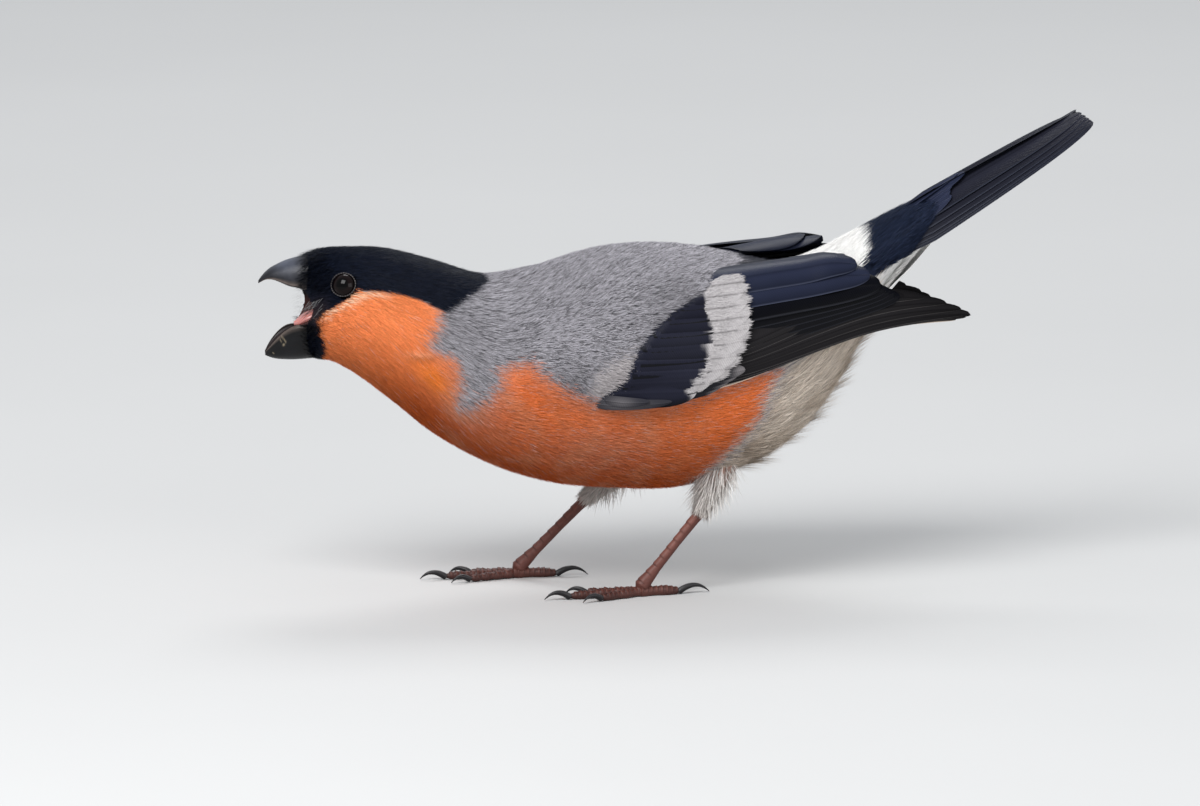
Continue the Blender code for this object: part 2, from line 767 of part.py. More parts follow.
def free_vane(name, line, across, up, half_width, finish):
    """A feather in the open: a line of points, its width and up ways, its half widths."""
    line, across, up = (np.asarray(a, float) for a in (line, across, up))
    segments = len(line) - 1
    width = half_width * feather_outline(vane_shares(segments))[:, None]
    layers = []
    for depth in (VANE_THICKNESS, 0.0):
        rows = []
        for k in (-1, 0, 1):
            rise = RACHIS_RISE if k == 0 and depth else 0.0
            rows.append(line + across * width * k + up * (depth + rise))
        layers.append(np.stack(rows, 1).reshape(-1, 3))
    return new_object(name, np.concatenate(layers), vane_faces(segments), finish)


def tail_place(share, spread):
    """A point on the tail: share from root to tip, spread from -1 to 1 across it."""
    x = TAIL_ROOT[0] + (TAIL_TIP[0] - TAIL_ROOT[0]) * share
    z = TAIL_ROOT[1] + (TAIL_TIP[1] - TAIL_ROOT[1]) * share
    y = spread * (TAIL_ROOT_SPREAD + (TAIL_TIP_SPREAD - TAIL_ROOT_SPREAD) * share)
    drop = abs(spread) ** 1.4 * (TAIL_ROOT_DROP + (TAIL_TIP_DROP - TAIL_ROOT_DROP) * share)
    return np.array([x, y, z - drop])


def tail_across(share, spread):
    """The way across the tail there, sloping down to each side."""
    step = 0.05
    way = tail_place(share, spread + step) - tail_place(share, spread - step)
    return way / np.linalg.norm(way)


def tail_vane(name, spread, start, end, lifts, half_width, segments=3):
    """One feather of the tail between two shares of its length, its root lying deeper."""
    shares = start + (end - start) * vane_shares(segments)
    line = np.array([tail_place(s, spread) for s in shares])
    across = np.array([tail_across(s, spread) for s in shares])
    along = line[-1] - line[0]
    up = np.cross(along / np.linalg.norm(along), across)
    up *= np.sign(up[:, 2:3])
    lift = lifts[0] + (lifts[1] - lifts[0]) * vane_shares(segments)[:, None]
    return free_vane(name, line + up * lift, across, up, half_width, "wing_quill")


def make_tail():
    """Twelve tail feathers, the middle pair on top, with the black upper coverts."""
    length = TAIL_TIP[0] - TAIL_ROOT[0]
    vanes = []
    for pair in range(TAIL_PAIRS):
        spread = 1.0 - pair / (TAIL_PAIRS - 0.5)
        end = 1.0 - TAIL_FORK * (1 - spread) / length
        for name, side in SIDES.items():
            lift = pair * TAIL_STEP + (TAIL_STEP * 0.5 if side > 0 else 0.0)
            vanes.append(tail_vane(f"rectrix_{pair}_{name}", side * spread, 0.0, end,
                                   (lift, lift), TAIL_FEATHER_HALF_WIDTH))
    top = TAIL_PAIRS * TAIL_STEP
    for i in range(TAIL_COVERTS):
        spread = TAIL_COVERT_SPREAD * (1.0 - i / (TAIL_COVERTS - 1))
        side = LEFT if i % 2 else RIGHT
        reach = TAIL_COVERT_REACH - TAIL_COVERT_STAGGER * spread
        vanes.append(tail_vane(f"upper_covert_{i}", side * spread, TAIL_COVERT_ROOT, reach,
                               (top - 1.2 * MM, top + i * TAIL_STEP * 0.5),
                               TAIL_COVERT_HALF_WIDTH, 2))
    tail = vanes.pop()
    tail.name = "tail"
    boolean(tail, "UNION", vanes)
    boolean(tail, "DIFFERENCE", [whole_body("rump_cut", "wing_quill", CUT_GROWTH)])
    keep_largest(tail)


def body_vane(name, root, tip, half_width, lifts, finish, segments=3):
    """A feather laid on the body between two places (along, angle round from the back)."""
    share = vane_shares(segments)
    x = root[0] + (tip[0] - root[0]) * share
    turn = root[1] + (tip[1] - root[1]) * share
    lift = lifts[0] + (lifts[1] - lifts[0]) * share
    girth = np.array([np.ptp(body_points(np.array([at, at]), np.array([0.0, math.pi]))[:, 2])
                      for at in x]) / 2
    layers = []
    for depth in (VANE_THICKNESS, 0.0):
        across = []
        for k in (-1, 0, 1):
            rise = 0.0 if k or not depth else RACHIS_RISE
            reach = k * half_width * feather_outline(share) / girth
            across.append([body_points(np.array([a]), np.array([t]), float(up))[0]
                           for a, t, up in zip(x, turn + reach, lift + depth + rise)])
        layers.append(np.stack(across, 1).reshape(-1, 3))
    return new_object(name, np.concatenate(layers), vane_faces(segments), finish)


def make_rump():
    """The white rump and vent, with the long white feathers under the tail."""
    rump = whole_body("rump", "white_rump")
    keep_side(rump, RUMP_FRONT, 1)
    vanes = []
    for i in range(UNDERTAIL_COVERTS):
        spread = 2 * i / (UNDERTAIL_COVERTS - 1) - 1
        root_turn = UNDERTAIL_MIDDLE + spread * UNDERTAIL_ROOT_SPREAD
        tip_turn = UNDERTAIL_MIDDLE + spread * UNDERTAIL_TIP_SPREAD
        reach = UNDERTAIL_TIP - abs(spread) * UNDERTAIL_STAGGER
        vanes.append(body_vane(
            f"undertail_{i}", (UNDERTAIL_ROOT, root_turn), (reach, tip_turn),
            UNDERTAIL_HALF_WIDTH, UNDERTAIL_LIFTS, "white_rump", 2))
    boolean(rump, "UNION", vanes)
    keep_largest(rump)


def frame_along(start, end):
    """Two ways at right angles to a line, the first as near level as can be."""
    along = (Vector(end) - Vector(start)).normalized()
    first = along.cross(Vector((0.0, 0.0, 1.0))).normalized()
    return along, first, along.cross(first)


def tapered_tube(name, line, radii, segments, finish):
    """A tube along a line of points with a radius at each, closed at both ends."""
    rings = []
    turns = np.arange(segments) * 2 * math.pi / segments
    for i, point in enumerate(line):
        before, after = line[max(i - 1, 0)], line[min(i + 1, len(line) - 1)]
        _, first, second = frame_along(before, after)
        rings.append([Vector(point) + (first * math.cos(t) + second * math.sin(t)) * radii[i]
                      for t in turns])
    points = [p for one in rings for p in one]
    return new_object(name, points, tube_faces(len(line), segments), finish)


def make_thigh(name, places):
    """The feathered upper leg, from inside the belly down to the heel, with loose locks."""
    root, heel = Vector(places["thigh"]) * MM, Vector(places["heel"]) * MM
    line = [root.lerp(heel, share) for share, _ in THIGH_STATIONS]
    radii = [radius * MM for _, radius in THIGH_STATIONS]
    thigh = tapered_tube(f"thigh_{name}", line, radii, 12, "thigh_down")
    along, first, second = frame_along(root, heel)
    locks = []
    for i in range(THIGH_LOCKS):
        turn = 2 * math.pi * (i + 0.31) / THIGH_LOCKS
        out = first * math.cos(turn) + second * math.sin(turn)
        across = along.cross(out)
        end = 0.96 + 0.05 * ((i * 3) % 4)
        spine = [root.lerp(heel, LOCK_START + (end - LOCK_START) * s)
                 + out * (LOCK_OUT[0] + (LOCK_OUT[1] - LOCK_OUT[0]) * s)
                 for s in (0.0, 0.55, 1.0)]
        locks.append(free_vane(f"lock_{name}_{i}", [tuple(p) for p in spine],
                               [tuple(across)] * 3, [tuple(out)] * 3, LOCK_HALF_WIDTH,
                               "thigh_down"))
    boolean(thigh, "UNION", locks)
    boolean(thigh, "DIFFERENCE", [whole_body("belly_cut", "thigh_down", CUT_GROWTH),
                                  make_shank("shank_cut", places, CUT_GROWTH)])
    keep_largest(thigh)


def make_shank(name, places, growth=0.0):
    """The bare lower leg, from under the thigh's feathers to the root of the toes."""
    heel, foot = Vector(places["heel"]) * MM, Vector(places["foot"]) * MM
    along = (foot - heel).normalized()
    start = heel + along * (SHANK_TOP - growth)
    end = foot - along * (ANKLE_TOP + GAP - growth)
    line = [start.lerp(end, share) for share in (0.0, 0.12, 0.4, 0.75, 1.0)]
    return tapered_tube(name, line, [r * MM + growth for r in SHANK_RADII], 12, "leg_scale")


def toe_tube(name, base, heading, length, pads, radius):
    """A toe with a swelling at each pad, its underside cut flat where it meets the floor."""
    steps = 2 * pads + 1
    segments = 8
    way = np.array([-math.cos(heading), math.sin(heading), 0.0])
    across = np.array([math.sin(heading), math.cos(heading), 0.0])
    turns = np.arange(segments) * 2 * math.pi / segments + math.pi / segments
    rings = []
    for i in range(steps + 1):
        share = i / steps
        swell = 1.0 + 0.13 * (-1) ** i
        size = radius * MM * swell * (1.06 - 0.34 * share)
        middle = np.array(base) + way * length * MM * share
        middle[2] = TOE_HEIGHT * (1.0 - 0.25 * share)
        one = middle + np.outer(np.cos(turns) * size, across) + np.outer(
            np.sin(turns) * size, (0.0, 0.0, 1.0))
        one[:, 2] = np.maximum(one[:, 2], 0.0)
        rings.append(one)
    return new_object(name, np.concatenate(rings), tube_faces(len(rings), segments), "leg_scale")


def toe_heading(side, toe):
    return math.radians(TOES[toe][0]) * (-side)


def make_foot(name, side, places):
    """The foot: three toes ahead and one behind, joined at the root of the toes."""
    foot = Vector(places["foot"]) * MM
    heel = Vector(places["heel"]) * MM
    base = (foot.x, foot.y, TOE_HEIGHT)
    toes = [toe_tube(f"{toe}_{name}", base, toe_heading(side, toe), length, pads, radius)
            for toe, (_, length, pads, radius) in TOES.items()]
    along = (foot - heel).normalized()
    ankle = tapered_tube(
        f"foot_{name}", [foot - along * ANKLE_TOP, foot, foot + along * ANKLE_END],
        ANKLE_RADII, 12, "leg_scale")
    for vertex in ankle.data.vertices:
        vertex.co.z = max(vertex.co.z, ANKLE_CLEAR)
    boolean(ankle, "UNION", toes)
    keep_largest(ankle)


def make_claws(name, side, places):
    """A curved, tapered claw on each toe, just clear of the floor at its tip."""
    foot = Vector(places["foot"]) * MM
    for toe, (_, length, _, radius) in TOES.items():
        heading = toe_heading(side, toe)
        way = Vector((-math.cos(heading), math.sin(heading), 0.0))
        start = Vector((foot.x, foot.y, 0.0)) + way * (length * MM + 2 * GAP)
        reach = CLAW_LENGTH[toe] * MM
        line, radii = [], []
        for s in np.linspace(0.0, 1.0, 5):
            rise = CLAW_ROOT_HEIGHT + reach * CLAW_ARCH * s * (1 - s) - CLAW_TIP_DROP * s**2
            line.append(start + way * reach * s * (1 - 0.12 * s) + Vector((0.0, 0.0, rise)))
            radii.append(CLAW_RADIUS * (1 - 0.86 * s**1.3) * min(1.0, radius))
        tapered_tube(f"claw_{toe}_{name}", line, radii, 6, "claw_horn")


def make_legs():
    for name, side in SIDES.items():
        places = LEGS[name]
        make_thigh(name, places)
        make_shank(f"shank_{name}", places)
        make_foot(name, side, places)
        make_claws(name, side, places)


def main():
    clear_scene()
    make_head()
    make_eyes()
    make_bill()
    make_tongue()
    make_body()
    make_rump()
    make_wings()
    make_tail()
    make_legs()


main()
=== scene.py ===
# %% [markdown]
# A male bullfinch, modelled life size. The bird leans forward with its bill open and its tail
# raised. This file dresses a plain solid of the bird with a skin, a coat of small feathers,
# flight feathers one by one, a horny bill, wet eyes and scaly legs.
#
# Every shape is worked out as whole numpy arrays, in millimetres, and goes into its mesh in
# metres. The bird faces -X, its left side is -Y and its back is up.

# %% Load the solid model
import bpy
import numpy as np
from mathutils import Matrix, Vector


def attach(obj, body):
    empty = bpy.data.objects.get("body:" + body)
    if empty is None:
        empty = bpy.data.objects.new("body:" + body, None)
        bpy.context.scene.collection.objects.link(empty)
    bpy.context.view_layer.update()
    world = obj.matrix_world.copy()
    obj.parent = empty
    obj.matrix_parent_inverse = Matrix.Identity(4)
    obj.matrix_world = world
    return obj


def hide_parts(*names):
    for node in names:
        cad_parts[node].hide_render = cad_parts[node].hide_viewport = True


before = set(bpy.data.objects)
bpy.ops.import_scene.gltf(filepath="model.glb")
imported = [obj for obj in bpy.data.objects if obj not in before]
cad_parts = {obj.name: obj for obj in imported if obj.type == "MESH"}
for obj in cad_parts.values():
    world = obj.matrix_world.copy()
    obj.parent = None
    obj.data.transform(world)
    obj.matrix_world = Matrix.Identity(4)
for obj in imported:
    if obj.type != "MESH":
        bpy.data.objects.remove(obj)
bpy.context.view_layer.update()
MM = 0.001
LEFT, RIGHT = 1, -1
SIDES = {"left": LEFT, "right": RIGHT}
# One source of chance with a fixed seed, so that every run makes the same bird.
chance = np.random.default_rng(11)
print("solid pieces:", len(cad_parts))

# %% [markdown]
# A few words of geometry come back all through the file. A ramp and a bell turn a distance
# into a share from 0 to 1. The golden sequence spreads places evenly, without any order that
# the eye could find.

# %% Small helpers
GOLDEN_STEPS = (0.7548776662, 0.5698402910)


def rgb(*channels):
    """A colour as an array of its linear shares of red, green and blue."""
    return np.array(channels)


def ramp(value, start, end):
    """Share of the way from a start to an end, held between 0 and 1."""
    return np.clip((value - start) / (end - start), 0, 1)


def bell(value, middle, reach):
    """A bell of height 1 at its middle, that falls to about a third at its reach."""
    return np.exp(-((value - middle) / reach) ** 2)


def tent(value, middle, reach):
    """A straight-sided peak of height 1 at its middle, that ends at its reach."""
    return np.clip(1 - np.abs(value - middle) / reach, 0, 1)


def unit(ways):
    """The same ways, each one unit long."""
    return ways / np.linalg.norm(ways, axis=-1, keepdims=True)


def two_ways(way):
    """Two unit vectors at right angles to a way, the first one level."""
    level = unit(np.cross(way, (0.0, 0.0, 1.0)))
    return level, np.cross(level, way)


def circle(count):
    """That many even turns round a full circle, in radians."""
    return np.arange(count) * 2 * np.pi / count


def degrees_down(turn):
    """Degrees down from the back, the same on both sides."""
    return np.degrees(np.abs(turn))


def even_places(count, start=0.0):
    """Two shares from 0 to 1 for each of many places: a two-step golden sequence."""
    i = np.arange(count) + start
    return i * GOLDEN_STEPS[0] % 1, i * GOLDEN_STEPS[1] % 1


# %% [markdown]
# The photograph was taken a little ahead of the bird's side and a little above it, from far
# off, so the picture is nearly free of perspective. A long lens at a distance does the same.

# %% Camera
AIM = np.array([-0.01524, 0.0, 0.0364])


def placed(name, data, azimuth, elevation, distance):
    """An object at a bearing from the bird, in degrees round and up, turned towards it."""
    around, up = np.radians((azimuth, elevation))
    way = np.array([np.sin(around) * np.cos(up), -np.cos(around) * np.cos(up), np.sin(up)])
    made = bpy.data.objects.new(name, data)
    made.location = AIM + distance * way
    made.rotation_euler = Vector(way).to_track_quat("Z", "Y").to_euler()
    bpy.context.scene.collection.objects.link(made)
    return made


lens = bpy.data.cameras.new("camera")
lens.lens = 400.0
lens.sensor_width = 36.0
lens.clip_start, lens.clip_end = 0.05, 20.0
bpy.context.scene.camera = placed("camera", lens, -12.0, 10.0, 2.614)

# %% [markdown]
# Feathers show their form in soft light that still comes from one side. A broad lamp above the
# viewer's left shoulder does most of the work, a weaker one fills the belly, and a third
# behind the bird draws a thin bright edge along its back. The pale world fills the rest.

# %% Lamps and pale surroundings
# Name, degrees round and up, distance and size in metres, power in watts.
LAMPS = [("key", -38.0, 46.0, 1.1, 0.6, 15.0), ("fill", 34.0, 12.0, 1.4, 0.9, 7.0),
         ("edge", 165.0, 50.0, 1.2, 0.5, 6.0)]
for name, azimuth, elevation, distance, size, power in LAMPS:
    light = bpy.data.lights.new(name, "AREA")
    light.energy, light.size = power, size
    placed(name, light, azimuth, elevation, distance)
world = bpy.data.worlds.new("surroundings")
world.use_nodes = True
world.node_tree.nodes["Background"].inputs["Color"].default_value = (0.86, 0.9, 0.96, 1.0)
world.node_tree.nodes["Background"].inputs["Strength"].default_value = 0.62
bpy.context.scene.world = world
bpy.context.scene.view_settings.view_transform = "Standard"

# %% [markdown]
# Shader maths reads best as arithmetic. A small class wraps one socket of a material, so that
# `0.6 + grain * 0.8` adds the Math nodes for it. A second class is the material itself, with
# one way to add any other node.

# %% Finishes as arithmetic


class Signal:
    """One number, colour or vector socket of a finish; operators on it add Math nodes."""

    def __init__(self, finish, socket):
        self.finish, self.socket = finish, socket

    def math(self, operation, *values):
        return self.finish.node("ShaderNodeMath", {"operation": operation},
                                dict(enumerate(values)))

    def __add__(self, other):
        return self.math("ADD", self, other)

    def __sub__(self, other):
        return self.math("SUBTRACT", self, other)

    def __mul__(self, other):
        return self.math("MULTIPLY", self, other)

    def sine(self):
        return self.math("SINE", self)

    __radd__, __rmul__ = __add__, __mul__


class Finish:
    """A material with a Principled shader, whose fixed numbers sit on its own sockets.

    Its layer is the name under which a mesh carries the broad colours of the finish.
    """

    def __init__(self, name, fixed, layer="Plumage"):
        self.material = bpy.data.materials.new(name)
        self.material.use_nodes = True
        self.tree = self.material.node_tree
        self.shader = self.tree.nodes["Principled BSDF"]
        self.layer = layer
        for socket, value in fixed.items():
            self.shader.inputs[socket].default_value = value

    def node(self, kind, settings=None, values=None, out=0):
        """Adds a node: its settings first, then the values or links of its sockets."""
        made = self.tree.nodes.new(kind)
        for key, value in (settings or {}).items():
            setattr(made, key, value)
        for key, value in (values or {}).items():
            if isinstance(value, Signal):
                self.tree.links.new(value.socket, made.inputs[key])
            else:
                made.inputs[key].default_value = value
        return Signal(self, made.outputs[out])

    def painted(self, name=None, out=0):
        """The colour or vector that the mesh carries at its points, by default its layer."""
        return self.node("ShaderNodeAttribute", {"attribute_name": name or self.layer}, out=out)

    def place(self):
        """The point's own place on the piece, in metres."""
        return self.node("ShaderNodeTexCoord", out=3)

    def noise(self, scale, detail=2.0):
        """Soft random patches, with that many to the metre."""
        return self.node("ShaderNodeTexNoise", None,
                         {"Vector": self.place(), "Scale": scale, "Detail": detail})

    def ramp(self, value, start, end, low, high):
        """A number from low to high, as the value goes from its start to its end."""
        return self.node("ShaderNodeMapRange", None, {
            "Value": value, "From Min": start, "From Max": end, "To Min": low, "To Max": high})

    def feed(self, socket, signal):
        self.tree.links.new(signal.socket, self.shader.inputs[socket])

    def tint(self, colour, factor):
        """The base colour as a colour times a factor."""
        self.feed("Base Color", self.node(
            "ShaderNodeVectorMath", {"operation": "SCALE"}, {0: colour, "Scale": factor}))

    def mottle(self, scale, detail, first, second):
        """The base colour as soft random patches of two colours."""
        self.feed("Base Color", self.node(
            "ShaderNodeMix", {"data_type": "RGBA"},
            {0: self.noise(scale, detail), 6: (*first, 1.0), 7: (*second, 1.0)}, out=2))

    def roughen(self, colour, start, end, low, high):
        """Roughness from low to high, as the colour's lightness goes from start to end."""
        lightness = self.node("ShaderNodeRGBToBW", None, {"Color": colour})
        self.feed("Roughness", self.ramp(lightness, start, end, low, high))

    def bump(self, height, strength, depth):
        """Small relief from a height signal, that many metres deep."""
        self.feed("Normal", self.node("ShaderNodeBump", None, {
            "Height": height, "Strength": strength, "Distance": depth}))


# %% [markdown]
# Plumage is dull, so its finish has a rough surface. The colour itself is painted on the
# mesh, because skin and coat share one set of markings. Black feathers shine more than pale
# ones: the roughness follows the colour.

# %% Plumage and skin finishes
plumage = Finish("plumage", {"Specular IOR Level": 0.03})
colour = plumage.painted()
plumage.tint(colour, plumage.ramp(plumage.noise(2600.0, 3.0), 0.3, 0.7, 0.9, 1.08))
plumage.roughen(colour, 0.01, 0.12, 0.42, 0.78)

under_coat = Finish("under_coat", {"Roughness": 0.9, "Specular IOR Level": 0.1})
under_coat.tint(under_coat.painted(), 0.55 + 0.5 * under_coat.noise(1500.0, 4.0))
under_coat.bump(under_coat.noise(3500.0, 3.0), 0.5, 0.0002)

# %% [markdown]
# A flight feather is a smooth vane of hundreds of barbs that run slantwise from its shaft.
# The mesh carries, at every point, how far the point is from the shaft and from the root. A
# sine of those two distances draws the barbs as fine grooves, and they catch the light.

# %% Flight feather finish
quill = Finish("quill", {"Specular IOR Level": 0.045})
from_shaft = quill.node("ShaderNodeSeparateXYZ", None, {0: quill.painted("Vane", out=1)})
from_root = Signal(quill, from_shaft.socket.node.outputs[1])
barb_line = (from_root * 14.0 - from_shaft * 9.0 + quill.noise(700.0) * 5.0).sine() * 0.5 + 0.5
colour = quill.painted()
quill.tint(colour, 0.82 + barb_line * 0.2 + quill.noise(300.0, 3.0) * 0.12)
quill.roughen(colour, 0.02, 0.2, 0.34, 0.72)
quill.bump(barb_line, 0.35, 0.00005)

# %% [markdown]
# The remaining finishes are horn, leg scales, the wet tongue and the eye. Horn and scale take
# their broad colour from the mesh and add a fine grain of their own. The eye is a dark ball
# with a very smooth surface.

# %% Horn, scale, tongue and eye finishes
horn = Finish("horn", {"Specular IOR Level": 0.2}, "Horn")
grain = horn.noise(900.0, 5.0)
horn.tint(horn.painted(), 0.6 + grain * 0.8)
horn.feed("Roughness", 0.24 + grain * 0.26)
horn.bump(horn.noise(2200.0, 4.0), 0.25, 0.00008)

scale_skin = Finish("scale_skin", {"Specular IOR Level": 0.25}, "Horn")
wrinkle = scale_skin.node("ShaderNodeTexVoronoi", {"feature": "DISTANCE_TO_EDGE"},
                          {"Vector": scale_skin.place(), "Scale": 1700.0})
scale_skin.tint(scale_skin.painted(), 0.72 + scale_skin.noise(1300.0, 4.0) * 0.6)
scale_skin.feed("Roughness", 0.38 + scale_skin.noise(800.0) * 0.25)
scale_skin.bump(wrinkle, 0.5, 0.0001)

tongue_skin = Finish("tongue_skin", {"Roughness": 0.35, "Subsurface Weight": 0.2,
                                     "Subsurface Scale": 0.002})
tongue_skin.mottle(700.0, 3.0, (0.55, 0.24, 0.21), (0.38, 0.13, 0.12))
tongue_skin.bump(tongue_skin.noise(2600.0, 3.0), 0.4, 0.0001)

eye_gloss = Finish("eye_gloss", {"Roughness": 0.04, "Specular IOR Level": 0.12}, "Horn")
eye_gloss.feed("Base Color", eye_gloss.painted())
print("finishes:", len(bpy.data.materials))

# %% [markdown]
# All pieces enter Blender in the same way: an array of points, an array of triangles, and
# named values at the points. `foreach_set` copies whole arrays at once, which is far quicker
# than adding points one by one.

# %% From arrays to a piece


def piece(name, arrays, finish):
    """A mesh of triangles from points in millimetres, with its colours and its bake map.

    Besides points and triangles the arrays may hold colours and vane distances at the
    points, and the corners of the triangles on the bake map.
    """
    triangles = arrays["triangles"]
    mesh = bpy.data.meshes.new(name)
    mesh.vertices.add(len(arrays["points"]))
    mesh.vertices.foreach_set("co", (arrays["points"] * MM).astype(np.float32).ravel())
    mesh.loops.add(triangles.size)
    mesh.loops.foreach_set("vertex_index", triangles.astype(np.int32).ravel())
    mesh.polygons.add(len(triangles))
    mesh.polygons.foreach_set("loop_start", np.arange(0, triangles.size, 3, dtype=np.int32))
    if "colours" in arrays:
        layer = mesh.color_attributes.new(finish.layer, "FLOAT_COLOR", "POINT")
        rgba = np.pad(arrays["colours"], ((0, 0), (0, 1)), constant_values=1.0)
        layer.data.foreach_set("color", rgba.astype(np.float32).ravel())
    if "vane" in arrays:
        layer = mesh.attributes.new("Vane", "FLOAT_VECTOR", "POINT")
        layer.data.foreach_set("vector", arrays["vane"].astype(np.float32).ravel())
    if "corners" in arrays:
        layer = mesh.uv_layers.new(name="OFBake")
        layer.data.foreach_set("uv", arrays["corners"].astype(np.float32).ravel())
    mesh.update(calc_edges=True)
    mesh.shade_smooth()
    if "vane" in arrays:
        mesh.set_sharp_from_angle(angle=np.radians(50.0))
    mesh.materials.append(finish.material)
    made = bpy.data.objects.new(name, mesh)
    bpy.context.scene.collection.objects.link(made)
    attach(made, "root")
    print(name, len(triangles), "triangles")
    return made


def tube(rings, **painted):
    """A closed tube of rings of points: triangles between neighbours, a fan on each end.

    Each corner's place on the bake map is its share along the tube and its share round it.
    Colours or vane distances painted on the rings are carried on to the middles of the ends.
    """
    count, around, _ = rings.shape
    r, k = np.meshgrid(np.arange(count - 1), np.arange(around), indexing="ij")
    r, k = r.ravel(), k.ravel()
    a, b = r * around + k, r * around + (k + 1) % around
    c, d = a + around, b + around
    s = np.arange(around)
    n = (s + 1) % around
    top = (count - 1) * around
    triangles = np.concatenate([
        np.stack([a, b, d], 1), np.stack([a, d, c], 1),
        np.stack([np.full(around, count * around), n, s], 1),
        np.stack([np.full(around, count * around + 1), top + s, top + n], 1)])
    along = [[r, r, r + 1], [r, r + 1, r + 1], [s * 0, s * 0, s * 0],
             [s * 0 + count - 1] * 3]
    round_it = [[k, k + 1, k + 1], [k, k + 1, k], [s + 0.5, s + 1, s], [s + 0.5, s, s + 1]]
    corners = np.concatenate([
        np.stack([np.stack(u, 1) / (count - 1), np.stack(v, 1) / around], -1)
        for u, v in zip(along, round_it)])
    points = np.concatenate([rings.reshape(-1, 3), rings[:1].mean(1), rings[-1:].mean(1)])
    middle = points.mean(0)
    a, b, c = (points[triangles[:, i]] - middle for i in range(3))
    if np.einsum("ij,ij->", a, np.cross(b, c)) < 0:
        triangles, corners = triangles[:, ::-1], corners[:, ::-1]
    arrays = {"points": points, "triangles": triangles, "corners": corners}
    for key, values in painted.items():
        values = np.broadcast_to(values, rings.shape)
        arrays[key] = np.concatenate([values.reshape(-1, 3), values[:1].mean(1),
                                      values[-1:].mean(1)])
    return arrays


def stacked(parts):
    """Several sets of arrays as one set: the triangles count on from part to part."""
    starts = np.cumsum([0] + [len(part["points"]) for part in parts])
    parts = [dict(part, triangles=part["triangles"] + start)
             for part, start in zip(parts, starts)]
    return {key: np.concatenate([part[key] for part in parts]) for key in parts[0]}


def joined(shells):
    """Many closed shells stacked, each in its own square of the bake map."""
    across = int(np.ceil(np.sqrt(len(shells))))
    return stacked([dict(shell, corners=(shell["corners"] * 0.94 + 0.03
                                         + (i % across, i // across)) / across)
                    for i, shell in enumerate(shells)])


def on_map(along, round_it, margin=0.03):
    """Places on the bake map from two shares, kept off its border."""
    return np.stack([along, round_it], -1) * (1 - 2 * margin) + margin


def turned(turn):
    """A turn from -pi to pi as a share of the full circle."""
    return (turn + np.pi) / (2 * np.pi)


# %% [markdown]
# The body is one loft: at each place along it there is a height of the back, a height of the
# belly, a half width, and the height of the widest line. Smooth curves run through these
# tables. A body under feathers has no corners, so each section is a slightly squared ellipse.

# %% Form of the body
# Along, back, underside, half width, share of the height where it is widest.
BODY = np.array([
    (-74.6, 63.5, 50.5, 2.6, 0.50), (-73.4, 66.2, 47.9, 5.0, 0.50),
    (-71.5, 67.5, 46.6, 7.2, 0.51), (-68.5, 68.2, 46.2, 9.2, 0.52),
    (-64.5, 68.3, 44.2, 10.7, 0.52), (-58.0, 68.1, 39.4, 12.3, 0.50),
    (-48.0, 65.6, 31.3, 15.2, 0.47), (-38.0, 62.6, 25.7, 18.4, 0.45),
    (-27.0, 63.8, 21.9, 21.3, 0.46), (-14.0, 65.7, 20.2, 23.2, 0.47),
    (0.0, 66.2, 20.0, 23.2, 0.49), (12.0, 64.4, 23.4, 21.0, 0.52),
    (21.0, 62.8, 28.4, 17.8, 0.56), (29.0, 65.0, 36.2, 14.2, 0.58),
    (35.0, 67.9, 46.0, 11.4, 0.60), (41.0, 71.0, 56.0, 8.6, 0.60),
    (48.0, 74.2, 64.6, 6.4, 0.60), (52.0, 75.4, 69.0, 4.2, 0.60)]).T
FULLNESS = 2 / 0.93
HEAD_SWING = np.tan(np.radians(11.0))


def through(table, row, at):
    """Values on a smooth curve through one row of a table: a cubic Hermite spline."""
    places, values = table[0], table[row]
    at = np.clip(at, places[0], places[-1])
    slopes = np.gradient(values, places)
    k = np.clip(np.searchsorted(places, at, side="right") - 1, 0, len(places) - 2)
    span = places[k + 1] - places[k]
    t = (at - places[k]) / span
    return ((2 * t**3 - 3 * t**2 + 1) * values[k] + (t**3 - 2 * t**2 + t) * span * slopes[k]
            + (3 * t**2 - 2 * t**3) * values[k + 1] + (t**3 - t**2) * span * slopes[k + 1])


def middle_line(x):
    """How far the head swings to the bird's right, and the height of the widest line."""
    bend = np.clip(-30.0 - x, 0, 25.0)
    swing = HEAD_SWING * (bend**2 / 50.0 + np.clip(-55.0 - x, 0, None))
    back, under = through(BODY, 1, x), through(BODY, 2, x)
    return swing, under + (back - under) * through(BODY, 4, x), back, under


def body_radius(x, turn):
    """Distance from the middle line to the body: a squared ellipse in each section."""
    _, middle, back, under = middle_line(x)
    high = np.where(np.cos(turn) > 0, back - middle, middle - under)
    wide = through(BODY, 3, x)
    return (np.abs(np.sin(turn) / wide) ** FULLNESS
            + np.abs(np.cos(turn) / high) ** FULLNESS) ** (-1 / FULLNESS)


# %% [markdown]
# The folded wing lies on a shell a little outside the body, and its shoulder is a low dome on
# that shell. Feathers flow over both without a step, so skin and coat use the smooth maximum
# of the two radii: the logarithm of the sum of their exponentials.

# %% Form of the shoulder
# Along, height of the shell's middle, its half height and half width.
WING = np.array([
    (-40.0, 43.2, 17.2, 17.9), (-27.0, 42.6, 21.3, 22.0), (-14.0, 42.8, 23.3, 23.9),
    (0.0, 43.2, 23.6, 23.9), (12.0, 44.4, 23.0, 22.2), (24.0, 46.4, 21.4, 19.4),
    (36.0, 49.0, 18.6, 16.8), (48.0, 51.4, 14.6, 14.8), (60.0, 53.6, 10.5, 13.4)]).T


